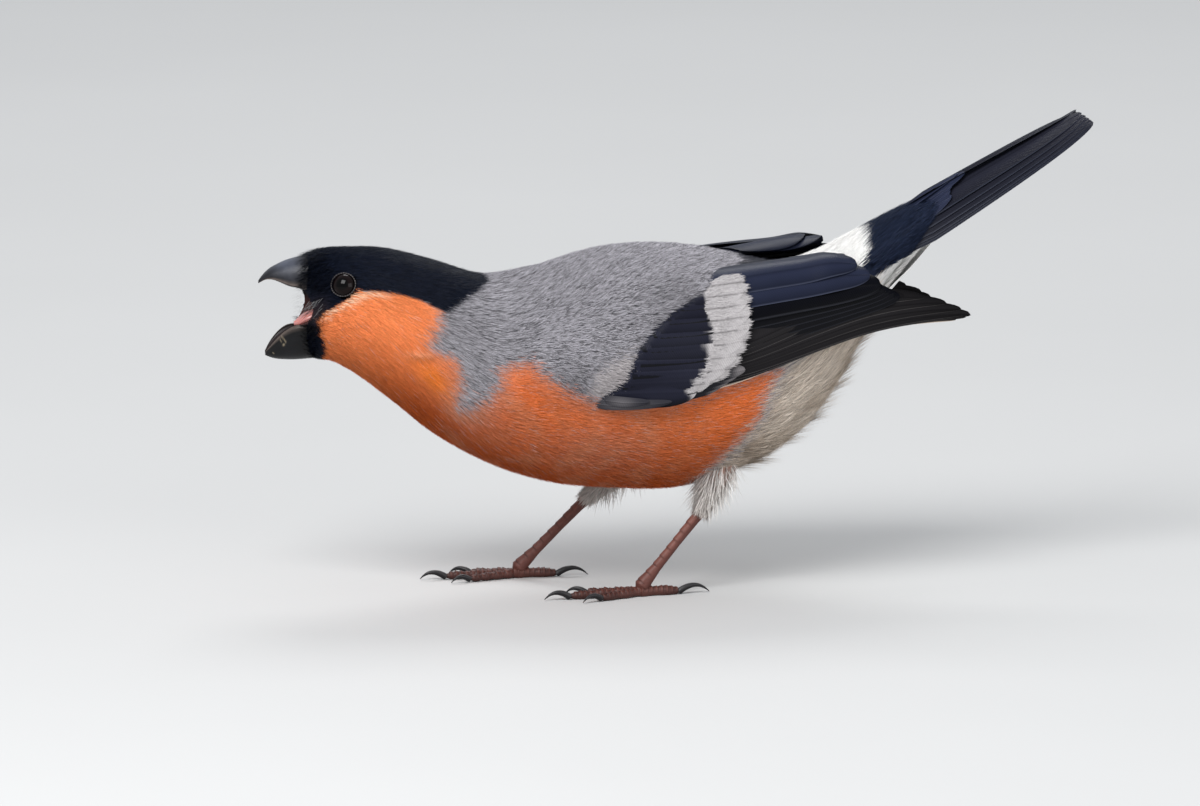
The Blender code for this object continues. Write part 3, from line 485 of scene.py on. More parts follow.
def dome_lift(x, angle):
    """Height of the shoulder above the shell: highest in its middle, falling with the cube."""
    down = angle - 60.0
    down = np.where(down < 0, down / 47.0, down / 38.0)
    out = np.hypot((x + 13.0) / 25.0 + 0.25 * down, down)
    return np.where(out < 1, 4.0 * (1 - out**3) - 0.7, -0.7 - 12.0 * (out - 1))


def shell_hit(x, turn, lift):
    """Where a ray from the middle line meets the lifted shell: a quadratic for the radius."""
    middle = middle_line(x)[1]
    zero = middle - through(WING, 1, x)
    high = through(WING, 2, x) + lift
    wide = through(WING, 3, x) + lift
    side, up = np.abs(np.sin(turn)), np.cos(turn)
    a = (side / wide) ** 2 + (up / high) ** 2
    b = 2 * zero * up / high**2
    c = (zero / high) ** 2 - 1
    radius = (-b + np.sqrt(np.maximum(b * b - 4 * a * c, 0))) / (2 * a)
    return radius, np.degrees(np.arctan2(radius * side / wide, (zero + radius * up) / high))


def smooth_most(first, second, softness):
    """The larger of two numbers, rounded where they meet: log of the sum of exponentials."""
    most = np.maximum(first, second)
    return most + softness * np.log(np.exp((first - most) / softness)
                                    + np.exp((second - most) / softness))


def form_radius(x, turn):
    """The body and the shoulder blended, 1.2 mm soft."""
    _, angle = shell_hit(x, turn, 2.0)
    shoulder, _ = shell_hit(x, turn, np.maximum(dome_lift(x, angle), -8.0))
    shoulder = shoulder - 1.4 * np.clip(-34.0 - x, 0, None) - np.clip(x - 22.0, 0, None)
    return smooth_most(body_radius(x, turn), shoulder, 1.2)


def at_radius(x, turn, radius):
    """A point round the middle line; turn is 0 at the back and grows down the left side."""
    swing, middle, _, _ = middle_line(x)
    return np.stack([x + 0 * turn, swing - radius * np.sin(turn),
                     middle + radius * np.cos(turn)], -1)


def form_point(x, turn, lift):
    """A point over the bird's form, at that height above it."""
    return at_radius(x, turn, form_radius(x, turn) + lift)


def wing_point(side, x, angle, lift):
    """A point over the wing's shell; angle is in degrees down from the back."""
    angle = np.radians(angle)
    return np.stack([x + 0 * angle,
                     -side * (through(WING, 3, x) + lift) * np.sin(angle),
                     through(WING, 1, x)
                     + (through(WING, 2, x) + lift) * np.cos(angle)], -1)


print("widest body radius", round(float(body_radius(np.array([0.0]), np.array([1.6]))[0]), 1))

# %% [markdown]
# A male bullfinch wears a black cap and bib, orange cheeks, breast and belly, a grey mantle
# and a white rump and vent. Each marking is a closed outline in millimetres along the body and
# degrees down from the back. The distance to an outline, negative inside, blends two colours
# over a narrow band, and a little chance moves the band from barb to barb.

# %% Markings
CAP = [(-80, 188), (-69.6, 188), (-69.9, 150), (-70.2, 137), (-71, 131), (-71.5, 108),
       (-70.6, 95), (-68.2, 85.5), (-65.2, 71), (-63.2, 63), (-61, 60), (-57.8, 56),
       (-54.2, 53), (-51.8, 52), (-49.4, 52.5), (-48.3, 52), (-46.5, 46), (-43.5, 34.5),
       (-41.2, 26), (-38.8, 14), (-38.2, -9), (-80, -9)]
ORANGE = [(-78, 188), (-78, 85), (-68.2, 80), (-65.2, 66), (-61, 55), (-54.2, 49), (-49.2, 51),
          (-50, 62), (-51.2, 75), (-52.4, 87), (-50.5, 86.5), (-47.8, 83), (-46.8, 86), (-46.2, 94),
          (-46.4, 104), (-46.8, 113), (-46.5, 121), (-44.2, 114), (-42.5, 105), (-40.5, 94.5),
          (-39.2, 87), (-38.5, 77.5), (-37.2, 73), (-34.8, 71.5), (-33, 72), (-31.8, 76),
          (-30.2, 79.5), (-28.2, 83), (-24.5, 88), (-21.5, 91.5), (-15, 91), (0, 88), (12, 86),
          (17.5, 93), (14.5, 103), (12.8, 117), (8.8, 127.5), (3.8, 142.5), (2, 160), (1, 188)]
WHITE = [(21, -9), (21, 30), (19, 50), (17, 76), (17.5, 93), (14.5, 103), (12.8, 117),
         (8.8, 127.5), (3.8, 142.5), (2, 160), (1, 188), (70, 188), (70, -9)]
TAIL_BLACK = [(37.5, -9), (36.9, 32), (36.5, 57), (35.2, 67), (34.6, 74), (36.5, 90),
              (38.6, 100), (41, 110), (44.5, 121), (48.5, 131), (60, 135), (60, -9)]
# Outline of painted shade: a slate patch on the lower back, between the wings.
SHADED_BACK = [(12.5, -9), (12.5, 15), (10, 22), (8.8, 32), (5, 42), (21, 46), (21, -9)]
PALE_COVERTS = [(-23, 87), (-21.3, 77.5), (-18.6, 73.5), (-15, 71), (-11.5, 69), (-12, 76),
                (-14, 81), (-15.8, 86), (-18.5, 90)]
PATCH = [(8.0, 31), (10.0, 25.5), (12.5, 25), (13.5, 28), (11, 31.5)]
GIRTH_SCALE = 0.34


def border_distance(x, angle, outline):
    """Millimetres from each place to an outline, negative inside it.

    The nearest point of every side is found at once, and an even-odd count of the sides
    crossed by a line from the place tells inside from outside.
    """
    corners = np.array(outline, float) * (1.0, GIRTH_SCALE)
    start, end = corners, np.roll(corners, -1, 0)
    here = np.stack([x, angle * GIRTH_SCALE], -1)[:, None]
    run = end - start
    t = np.clip(((here - start) * run).sum(-1) / (run**2).sum(-1), 0, 1)
    nearest = np.hypot(*np.moveaxis(here - start - run * t[..., None], -1, 0)).min(1)
    rising = (start[:, 1] > here[..., 1]) != (end[:, 1] > here[..., 1])
    slope = run[:, 0] / np.where(run[:, 1] == 0, 1e-9, run[:, 1])
    crossing = rising & (here[..., 0] < start[:, 0] + (here[..., 1] - start[:, 1]) * slope)
    return np.where(crossing.sum(1) % 2, -nearest, nearest)


def blend(first, second, weight):
    """A colour between two for every place, by its weight from 0 to 1."""
    return first + (second - first) * weight[:, None]


def toned(colour, tone, strength):
    """A colour for every place, made lighter or darker by its tone."""
    return colour * (1 + strength * tone)[:, None]


def inside(distance, softness):
    """Weight 1 well inside an outline, 0 well outside, with a smooth step between."""
    t = np.clip(0.5 - distance / softness, 0, 1)
    return t * t * (3 - 2 * t)


def bump_at(x, angle, middle, reach):
    """A bell of height 1 round a place, that falls to a third at its reach."""
    return np.exp(-((x - middle[0]) / reach[0]) ** 2 - ((angle - middle[1]) / reach[1]) ** 2)


def bumps(x, angle, rows):
    """A sum of bells, each row with its height, its middle and its reach."""
    return sum(height * bump_at(x, angle, middle, reach) for height, middle, reach in rows)


# %% [markdown]
# Each part of the coat mixes a few colours by place and by chance. Grey gets a fine stipple
# of painted shade between its barbs, and painted shade under the front of the shoulder.
# Orange is painted darker low on the belly and on the top of the cheek, as painted shade; it
# is dusty in patches, faded at its border with the grey, and has a crease behind the cheek
# with painted shade just behind it. A slate patch of painted shade lies on the lower back.
# White and black are laid over both, and the black of the tail coverts gets painted sheen.

# %% Colours of the coat
GREY = rgb(0.300, 0.290, 0.312)
PALE_GREY = rgb(0.40, 0.37, 0.37)
BACK_SHADE_SLATE = rgb(0.030, 0.031, 0.039)
BREAST = rgb(0.70, 0.175, 0.050)
CHEEK = rgb(0.78, 0.232, 0.080)
SHADED_BELLY = rgb(0.40, 0.076, 0.016)
DULL = rgb(0.48, 0.17, 0.10)
DUSTY = rgb(0.50, 0.205, 0.110)
VIVID = rgb(0.74, 0.195, 0.022)
CREASE = rgb(0.72, 0.40, 0.26)
FADED = rgb(0.52, 0.245, 0.165)
RUMP_WHITE = rgb(0.80, 0.79, 0.77)
VENT_CREAM = rgb(0.53, 0.445, 0.37)
BUFF = rgb(0.80, 0.56, 0.38)
CAP_BLACK = rgb(0.0042, 0.0060, 0.0125)
LORE_BROWN = rgb(0.026, 0.016, 0.013)
# Rows of height, middle and reach, along the body and in degrees down from the back.
# Darker grey on the neck and scapulars; the row under the front of the shoulder is painted shade.
DARKER_GREY_AND_SHADE = [(0.27, (-46, 50), (12, 40)), (0.2, (-8, 64), (14, 18)),
              (0.3, (-26, 82), (6, 9)), (0.22, (-4, 46), (7, 9))]
DULL_PLACES = [(0.55, (-44, 110), (8, 25)), (0.55, (-20, 120), (12, 18))]


def orange_at(x, angle, tone, edge):
    """The orange of the cheek, breast and belly, with the distance to its edge given."""
    # Painted shade: low on the underside the orange turns towards a darker belly colour.
    low = ramp(angle, 80, 155) * np.clip((x + 70) / 20, 0.25, 1)
    low = low * (1 - 0.8 * bump_at(x, angle, (6, 98), (14, 20)))
    low = low + 0.25 * bump_at(x, angle, (-52, 140), (14, 30))
    orange = blend(BREAST, CHEEK, ramp(x, -38, -52))
    orange = blend(orange, SHADED_BELLY, np.clip(low, 0, 1))
    # Painted shade: the top of the cheek is a little darker, against the stronger light from above.
    orange = orange * (1 - 0.16 * bump_at(x, angle, (-60, 62), (10, 14)))[:, None]
    orange = blend(orange, DULL, np.clip(bumps(x, angle, DULL_PLACES), 0, 1))
    patchy = (np.sin(0.55 * x + 2.1 * np.sin(0.09 * angle + 1))
              * np.sin(0.10 * angle + 1.6 * np.sin(0.31 * x)) + 0.25 * tone)
    dusty = np.clip(0.1 + 0.35 * patchy, 0, 0.45) * ramp(angle, 84, 94)
    orange = blend(orange, DUSTY, dusty * ramp(x, -52, -46) * ramp(x, 6, -8))
    orange = blend(orange, VIVID, 0.75 * bump_at(x, angle, (-50.5, 108), (4, 11)))
    # Just behind the crease the orange is painted darker, as painted shade; just ahead of it lie
    # pale barbs.
    behind = x + 55.8 - 0.286 * (105.5 - angle)
    crease = bell(angle, 97, 9)
    orange = orange * (1 - 0.4 * crease * bell(behind, 0.7, 0.5))[:, None]
    orange = blend(orange, CREASE, 0.5 * crease * bell(behind, -0.4, 0.5))
    orange = blend(orange, FADED, 0.45 * ramp(edge, -4, 0) * ramp(x, -53, -49))
    hoary = (chance.random(len(x)) < np.where(x < -50, 0.015, 0.05))[:, None]
    orange = toned(orange, tone, 0.13)
    return np.where(hoary, orange * 0.6 + 0.2, orange)


def plumage_colour(x, turn):
    """The colour of the coat at each place: grey, then orange, white and black laid over."""
    angle, count = degrees_down(turn), len(x)

    def to(outline):
        return border_distance(x, angle, outline)

    tone = chance.normal(0, 1, count)
    # Nearly a third of the barbs are painted much darker: painted shade in the gaps between barbs,
    # which makes the stipple.
    shade_dash = np.where(chance.random(count) < 0.3, -1.6, 0.55) + 0.4 * tone
    grey = GREY * ((1 - bumps(x, angle, DARKER_GREY_AND_SHADE)) * (1 + 0.36 * shade_dash))[:, None]
    pale = 0.85 * (to(PALE_COVERTS) + 0.6 * tone < 0)
    grey = blend(grey, toned(PALE_GREY, tone, 0.12), pale)
    edge = to(ORANGE)
    orange = orange_at(x, angle, tone, edge)
    white = blend(toned(RUMP_WHITE, tone, 0.05), toned(VENT_CREAM, tone, 0.22),
                  ramp(angle, 70, 100) * ramp(x, 38, 30))
    # Behind x = 30 the black is painted nearly three times lighter: painted sheen of the glossy
    # tail coverts.
    black = toned(CAP_BLACK, tone, 0.25) * (1 + 1.9 * (x > 30))[:, None]
    lore = bump_at(x, angle, (-71.6, 98), (1.8, 20)) * (1 + 0.4 * tone)
    black = black + LORE_BROWN * np.clip(lore, 0, 1.2)[:, None]
    shift = chance.normal(0, 0.45, count)
    colours = blend(grey, orange, inside(edge + np.where(x > -5, 3.6, 1.6) * shift, 1.6))
    to_white = to(WHITE) + np.where(angle > 70, 4.0, 1.0) * shift
    colours = blend(colours, white, inside(to_white, 2.0))
    to_cap = to(CAP) + 0.4 * shift
    cheek_top = tent(to_cap, 0.8, 1.3) * ramp(x, -58, -61) * ramp(angle, 112, 97)
    cheek_top = cheek_top * (chance.random(count) < 0.6)
    colours = blend(colours, toned(BUFF, tone, 0.12), cheek_top)
    # Painted shade: slate on the lower back between the wings.
    to_shaded_back = to(SHADED_BACK) + shift
    colours = blend(colours, toned(BACK_SHADE_SLATE, tone, 0.2), inside(to_shaded_back, 1.2))
    colours = np.where((to(PATCH) < 0)[:, None], orange, colours)
    to_tail = to(TAIL_BLACK) + 0.8 * shift
    black_weight = np.maximum(inside(to_cap, 0.7), inside(to_tail, 0.8))
    return np.clip(blend(colours, black, black_weight), 0.002, 0.95)


print("cap distance at the eye", border_distance(np.array([-67.0]), np.array([60.0]), CAP))

# %% [markdown]
# The mouth is wide open. A hollow in the shape of an ellipsoid is pressed back into the face:
# every point of the skin that lies inside it moves back along the body to its surface.

# %% Open mouth and eye places
MOUTH = np.array([-76.6, 0.0, 57.0])
MOUTH_SIZE = np.array([6.1, 9.0, 4.3])
MOUTH[1] = float(middle_line(np.array([MOUTH[0]]))[0][0])
EYE_X, EYE_HEIGHT = -67.2, 62.4
EYE_RADIUS, EYE_SHOWS = 2.5, 1.15


def in_mouth(points, grow=0.0):
    """Share of the way out of the mouth's hollow: below 1 inside, above 1 outside."""
    return np.linalg.norm((points - MOUTH) / (MOUTH_SIZE + grow), axis=-1)


def pressed_in(points):
    """The points, with those inside the mouth moved back to its rear surface."""
    off = (points - MOUTH) / MOUTH_SIZE
    room = 1 - off[..., 1] ** 2 - off[..., 2] ** 2
    wall = MOUTH[0] + MOUTH_SIZE[0] * np.sqrt(np.clip(room, 0, 1))
    moved = points.copy()
    moved[..., 0] = np.where((room > 0) & (points[..., 0] < wall), wall, points[..., 0])
    return moved


def way_back(x, turn):
    """A short way along the form towards the tail."""
    return form_point(x + 0.4, turn, 0.0) - form_point(x - 0.4, turn, 0.0)


def skin_facing(x, turn):
    """The outward way of the form there: the cross product of its two directions."""
    round_it = form_point(x, turn + 0.03, 0.0) - form_point(x, turn - 0.03, 0.0)
    way = unit(np.cross(round_it, way_back(x, turn)))
    from_axis = form_point(x, turn, 0.0) - at_radius(x, turn, 0.0)
    return way * np.sign((way * from_axis).sum(-1, keepdims=True))


def eye_place(side):
    """The middle of the eyeball, the way it looks and its place on the skin."""
    turns = side * np.linspace(0.2, 2.5, 1200)
    outline = form_point(np.full(1200, EYE_X), turns, 0.0)
    best = turns[np.argmin(np.abs(outline[:, 2] - EYE_HEIGHT))]
    at = np.array([EYE_X]), np.array([best])
    facing, skin_place = skin_facing(*at)[0], form_point(*at, 0.0)[0]
    return skin_place - facing * (EYE_RADIUS - EYE_SHOWS), facing, skin_place


EYES = {name: eye_place(side) for name, side in SIDES.items()}
print("left eye at", EYES["left"][0].round(1))

# %% [markdown]
# Under the coat lies one skin, from the face to the root of the tail. It is the body's form
# less the depth of the feathers, so the coat has room to stand on it. It shows only in the
# gaps between barbs, where it is darker than the coat, as down and shade are.

# %% Skin
SKIN_ROWS, SKIN_ROUND = 300, 240


def coat_depth(x):
    """Depth of the feathers over the skin: thin on the face, thick on the body."""
    return np.interp(x, [-75, -68, -55, -35, 30, 52], [0.25, 0.45, 0.8, 1.2, 1.3, 0.9])


share = np.linspace(0, 1, SKIN_ROWS)
rows = np.concatenate([np.full(12, -74.6), -74.6 + 126.6 * share[1:] ** 1.15])
shrink = np.concatenate([np.sin(np.linspace(0.02, 1, 12) * np.pi / 2), np.ones(SKIN_ROWS - 1)])
x, turn = np.meshgrid(rows, circle(SKIN_ROUND), indexing="ij")
turn = (turn + np.pi) % (2 * np.pi) - np.pi
rings = at_radius(x, turn, (form_radius(x, turn) - coat_depth(x)) * shrink[:, None])
rings[..., 0] -= 0.6 * (1 - shrink[:, None])
for centre, facing, _ in EYES.values():
    sunk = np.clip(3.3 - np.linalg.norm(rings - centre, axis=-1), 0, None)[..., None]
    rings = rings - facing * sunk * 1.2
lining = in_mouth(rings) < 1.03
rings = pressed_in(rings)
lining |= in_mouth(rings) < 1.02
tint = plumage_colour(x.ravel(), turn.ravel()).reshape(rings.shape)
# Painted shade in the open mouth: the lining darkens deeper in and turns nearly black under the
# upper bill.
gape = rgb(0.20, 0.085, 0.078) * (1 - 0.6 * ramp(rings[..., :1], -76.0, -70.0))
gape = gape + (rgb(0.012, 0.010, 0.011) - gape) * ramp(rings[..., 2:], 56.6, 58.2)
tint = np.where(lining[..., None], gape, tint)
skin = piece("skin", tube(rings, colours=tint), under_coat)
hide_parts("head", "neck", "torso", "rump")

# %% [markdown]
# Each small feather of the coat is a tuft of barbs. A barb is a thin blade of three triangles
# that starts on the skin, follows the lie of the coat, and ends in a point near the outer
# form. The lie is an angle off the body's length: feathers sweep back everywhere, and slant
# towards the belly on the cheeks, the neck and the front of the shoulder.

# %% Lie of the coat
# Rows of slant in degrees, middle and reach.
LIE = [(16, (-60, 95), (9, 32)), (9, (-42, 80), (9, 30)), (20, (-25, 80), (8, 16)),
       (10, (-14, 62), (10, 18)), (-8, (18, 130), (10, 30)), (-17, (-40, 98), (8, 18))]
# Millimetres: no part of the form lies further from its middle line.
WIDEST = 27.0


def coat_lie(x, angle):
    """Degrees by which the coat slants towards the belly, as a sum of soft patches."""
    return bumps(x, angle, LIE)


def covert_line(angle):
    """How far back the grey shoulder feathers reach over the wing, at that angle down."""
    return np.interp(angle, [30, 41.6, 43, 44.8, 47.6, 52, 56.8, 63.2, 69.6, 74.8, 82, 86.4, 92],
                     [13, 8.6, 6, 3.6, 2, -1.8, -5.6, -9.4, -12.4, -13.6, -15.2, -16.6, -21])


def coat_roots(count, low, high):
    """Even, unordered places on the form: a two-step golden sequence, thinned by area."""
    along, around = even_places(count, 0.5)
    x, turn = low + (high - low) * along, around * 2 * np.pi - np.pi
    keep = chance.random(count) * WIDEST < form_radius(x, turn)
    return x[keep], turn[keep]


def bare(x, turn):
    """True where no tuft grows: in the mouth, on the eyes, and under the folded wing."""
    skin_point = form_point(x, turn, 0.0)
    none = in_mouth(skin_point, 0.25) < 1
    none |= (x < -73.3) & (skin_point[:, 2] > 59)
    for _, _, skin_place in EYES.values():
        none |= np.linalg.norm(skin_point - skin_place, axis=-1) < 2.75
    _, angle = shell_hit(x, turn, 0.0)
    edge = covert_line(angle) - 2.9 + 0.9 * np.sin(angle * 1.9) ** 2
    none |= (x > edge) & (x < 44) & (angle > 41) & (angle < 90)
    return none


def barbs(x, turn, length, width, count, splay, lifts, spots, surface=form_point, lie=coat_lie,
          paint=plumage_colour):
    """Tufts of barbs at the given roots, as arrays for a piece.

    Along a barb the distance from its root is the length times 0, 0.45 and 1, and its half
    width is 0.7, 1 and 0 of the width. Its way on the form is the lie plus a fan and a little
    chance. Steps in millimetres become steps in x and turn by the form's own scale. On the
    bake map each tuft is a tiny patch at its spot.
    """
    side = np.where(turn < 0, -1.0, 1.0)
    angle = degrees_down(turn)
    each = (len(x), count)
    width, low, high = (np.broadcast_to(value, len(x))[:, None] for value in (width, *lifts))
    fan = np.linspace(-1, 1, count) + chance.normal(0, 0.12, each)
    way = np.radians(lie(x, angle)[:, None] + splay * fan + chance.normal(0, 4, each))[..., None]
    long = length[:, None] * (1 - 0.25 * fan**2) * chance.uniform(0.75, 1.15, each)
    step = np.array([0.0, 0.0, 0.45, 0.45, 1.0])
    half = np.array([-0.7, 0.7, -1.0, 1.0, 0.0])
    roll = chance.normal(0, 0.2, each)[..., None]
    ahead = long[..., None] * step + chance.uniform(-0.3, 0.3, each)[..., None]
    across = half * width[..., None] * 0.5
    u = ahead * np.cos(way) - across * np.sin(way)
    v = ahead * np.sin(way) + across * np.cos(way) + (fan * 0.42 * width * count)[..., None]
    ring = np.linalg.norm(surface(x, turn + 0.01, 0.0) - surface(x, turn - 0.01, 0.0), axis=-1)
    run = np.linalg.norm(surface(x + 0.25, turn, 0.0) - surface(x - 0.25, turn, 0.0), axis=-1)
    new_x = x[:, None, None] + u / np.clip(run * 2, 0.8, 4)[:, None, None]
    new_turn = turn[:, None, None] + side[:, None, None] * v / (ring * 50 + 0.5)[:, None, None]
    height = low[..., None] + (high - low)[..., None] * step**0.8
    height = height + chance.normal(0, 0.07, each)[..., None] + across * roll
    points = surface(new_x.ravel(), new_turn.ravel(), height.ravel())
    blade = np.array([[0, 1, 3], [0, 3, 2], [2, 3, 4]])
    triangles = np.arange(len(x) * count)[:, None, None] * 5 + blade
    mirrored = np.repeat(side < 0, count)
    triangles[mirrored] = triangles[mirrored][:, :, ::-1]
    triangles = triangles.reshape(-1, 3)
    base = paint(new_x[..., 2:].mean(-1).ravel(), new_turn[..., 2:].mean(-1).ravel())
    shade = np.array([0.78, 0.78, 0.95, 0.95, 1.09])[:, None]
    tuft_tone = np.repeat(chance.normal(1, 0.025, len(x)), count)[:, None, None]
    colours = base[:, None] * shade * tuft_tone
    patch = np.stack([np.broadcast_to(step - 0.5, new_x.shape),
                      fan[..., None] * 0.5 + half * 0.05], -1) * 0.003
    return {"points": points, "triangles": triangles,
            "colours": np.clip(colours.reshape(-1, 3), 0, 1),
            "corners": (spots[:, None, None] + patch).reshape(-1, 2)[triangles]}


# %% [markdown]
# The coat is grown zone by zone, with the smallest and thinnest barbs on the face and the
# longest on the belly and rump. The number of tufts follows the zone's area. A last thin layer
# of short, widely fanned tufts gives the grey mantle its stipple.

# %% Grow the coat
ZONES = {
    "coat_face": (-74.4, -63.0), "coat_cheek": (-63.0, -50.0), "coat_neck": (-50.0, -36.0),
    "coat_breast": (-36.0, -20.0), "coat_shoulder": (-20.0, -2.0), "coat_belly": (-2.0, 20.0),
    "coat_rump": (20.0, 51.0)}
ALONG = [-75, -68, -60, -48, -30, 0, 20, 50]
LENGTHS = [1.0, 1.9, 4.2, 3.8, 3.6, 4.3, 5.0, 5.0]
WIDTHS = [0.12, 0.12, 0.13, 0.14, 0.155, 0.18, 0.2, 0.21]
DENSITY = [6.5, 5.6, 4.6, 3.9, 3.4, 2.8, 2.3, 2.1]
BARBS = 8
for name, (low, high) in ZONES.items():
    dense = np.interp((low + high) / 2, ALONG, DENSITY)
    x, turn = coat_roots(int((high - low) * 2 * np.pi * WIDEST * dense), low, high)
    keep = ~bare(x, turn)
    x, turn = x[keep], turn[keep]
    length = np.interp(x, ALONG, LENGTHS) * chance.uniform(0.85, 1.15, len(x))
    length = length * (1 - 0.4 * bump_at(x, degrees_down(turn), (-15, 35), (22, 40)))
    tip = np.interp(x, [-75, -60, -30, 50], [0.05, 0.1, 0.2, 0.35])
    lifts = (-coat_depth(x) * 0.9, tip + chance.normal(0, 0.08, len(x)))
    made = piece(name, barbs(
        x, turn, length, np.interp(x, ALONG, WIDTHS), BARBS, 13.0, lifts,
        on_map((x - low) / (high - low), turned(turn))), plumage)

MANTLE_TUFTS = 18000
x, turn = coat_roots(MANTLE_TUFTS, -49.0, 13.0)
angle = degrees_down(turn)
keep = (angle < 84) & ~bare(x, turn) & (border_distance(x, angle, ORANGE) > 0.6)
keep &= border_distance(x, angle, CAP) > 0.6
x, turn = x[keep], turn[keep]
angle = shell_hit(x, turn, 0.0)[1]
fringe = ramp(x - covert_line(angle), -4.5, -2.0) * (angle > 41)
neck = ramp(x, -28, -38)
length = chance.uniform(1.2, 2.0, len(x)) * (1 + 0.8 * neck) + 0.5 * fringe
lifts = (-0.25, chance.normal(0.32, 0.08, len(x)) + 0.5 * fringe)
mantle = piece("coat_mantle", barbs(
    x, turn, length, 0.13, 6, (30.0 - 22.0 * neck)[:, None], lifts,
    on_map((x + 49) / 62, turned(turn))), plumage)

# %% [markdown]
# Behind the legs the coat loosens into long wisps that stand off the vent and make its
# outline ragged. They are the same tufts, longer, thinner and lifted at their tips.

# %% Wisps of the vent


def vent_colour(x, turn):
    """Whitish with a strong difference from strand to strand."""
    return np.array([0.61, 0.53, 0.45]) * chance.normal(1, 0.2, len(x))[:, None]


WISPS = 1300
along, around = even_places(WISPS)
x, turn = 12.0 + 24.0 * along, np.radians(98 + 164 * around)
turn = np.where(turn > np.pi, turn - 2 * np.pi, turn)
keep = border_distance(x, degrees_down(turn), WHITE) < -1.5
x, turn = x[keep], turn[keep]
length = chance.uniform(5.0, 8.5, len(x))
lifts = (-0.4, chance.uniform(0.3, 1.5, len(x)))
wisps = piece("vent_wisps", barbs(
    x, turn, length, 0.14, 7, 16.0, lifts, on_map((x - 12) / 24, turned(turn)),
    paint=vent_colour), plumage)

# %% [markdown]
# A flight feather is a long vane with a shaft. Here it is a flat closed shell: round its
# section a point runs over the top from one edge to the other and back underneath, so the
# edges close by themselves. The half width grows from the root, stays full, and closes in a
# rounded or pointed tip. The shaft is a narrow ridge, and the vane is slightly arched.

# %% Form of a vane
ACROSS = np.array([-1, -0.96, -0.88, -0.7, -0.45, -0.2, -0.06, 0,
                   0.06, 0.2, 0.45, 0.7, 0.88, 0.96, 1.0])
ROUND = np.concatenate([ACROSS, ACROSS[-2:0:-1]])
TOP = np.concatenate([np.ones(15, bool), np.zeros(13, bool)])
VANE_ROWS = 26


def vane_section(widths, tip_power, ragged=0.0, arch=0.14):
    """Share along, signed width and relief over one vane, as arrays of rows by section."""
    t = np.linspace(0, 1, VANE_ROWS)[:, None]
    along = 1 - (1 - t) ** 1.5
    outline = np.clip(0.3 + 3.0 * along, 0, 1) ** 0.7 * (1 - along**tip_power + 1e-9) ** 0.5
    outline = outline * (1 - ragged * chance.random((VANE_ROWS, 1)) * (along > 0.4))
    width = np.where(ROUND < 0, widths[0], widths[1]) * ROUND * outline
    relief = np.where(TOP, 0.05 + arch * (1 - ROUND**2) + 0.10 * np.exp(-(ROUND / 0.06) ** 2), 0)
    relief = relief * np.where(np.abs(ROUND) == 1, 0, 1) * np.clip(outline * 3, 0, 1)
    return along, width, relief


def vane_tube(rings, along, width, length, paint):
    """The closed shell of a vane, with its paint and its distances from shaft and root."""
    from_root = along * length + 0 * width
    tint = paint(length - from_root, np.broadcast_to(ROUND, width.shape), along + 0 * width)
    distances = np.stack([np.abs(width), from_root, 0 * width], -1)
    return tube(rings, colours=tint, vane=distances)


def wing_vane(side, row, root, tip, lift, bow, paint, over_dome, hump):
    """A vane on the wing's shell: its line runs from root to tip places with a bow between.

    A late bow is strongest near the tip instead of halfway.
    The row's first width is above the shaft, the second below. Where the vane crosses the
    shoulder it rides over the dome by over_dome, once it has left the coat. The upper edge
    bends down to the back by the row's curl, and a hump lifts the vane where it passes the
    rump. The root lies deeper by the sink, which fades out along the vane with the power fade.
    """
    along, width, relief = vane_section(row["widths"], row["power"], arch=row.get("arch", 0.14))
    x = root[0] + (tip[0] - root[0]) * along
    bend = 6.75 * along**2 * (1 - along) if row.get("late") else 4 * along * (1 - along)
    angle = root[1] + (tip[1] - root[1]) * along + bow * bend
    arc = np.radians((through(WING, 2, x) + through(WING, 3, x)) / 2)
    run = np.array([tip[0] - root[0], (tip[1] - root[1]) * float(arc.mean())])
    length = np.linalg.norm(run)
    run /= length
    x_here, angle_here = x - width * run[1], angle + width * run[0] / arc
    height = lift - row["sink"] * (1 - along) ** row.get("fade", 1.5)
    if over_dome:
        buried = np.maximum(ramp(covert_line(angle_here) + 1.0 - x_here, 0, 2.5),
                            ramp(along, 0.15, 0))
        height = smooth_most(dome_lift(x_here, angle_here) + over_dome, height, 0.4)
        height = height - 1.2 * buried
    upper = ramp(-width / row["widths"][0], 0.15, 1)
    height = height - row.get("curl", 0.0) * upper**1.5 * along**0.5
    height = height + hump * bell(x, 27.5, 3.8)
    rings = wing_point(side, x_here, angle_here, height + relief)
    return vane_tube(rings, along, width, length, paint)


# %% [markdown]
# The rows of the wing are laid from its lower edge upwards, each feather over the one below.
# Roots and tips are places along the body and degrees down from the back. The white tips of
# the greater coverts make the bar across the wing, and pale edges draw out every feather.

# %% Colours of the wing feathers
BLUE_BLACK = np.array([0.0085, 0.0105, 0.0210])
DARK_BLUE = np.array([0.0030, 0.0033, 0.0060])
BROWN_BLACK = np.array([0.0110, 0.0100, 0.0110])
COVERT_BLACK = np.array([0.0058, 0.0061, 0.0105])
BAR_WHITE = np.array([0.356, 0.338, 0.340])


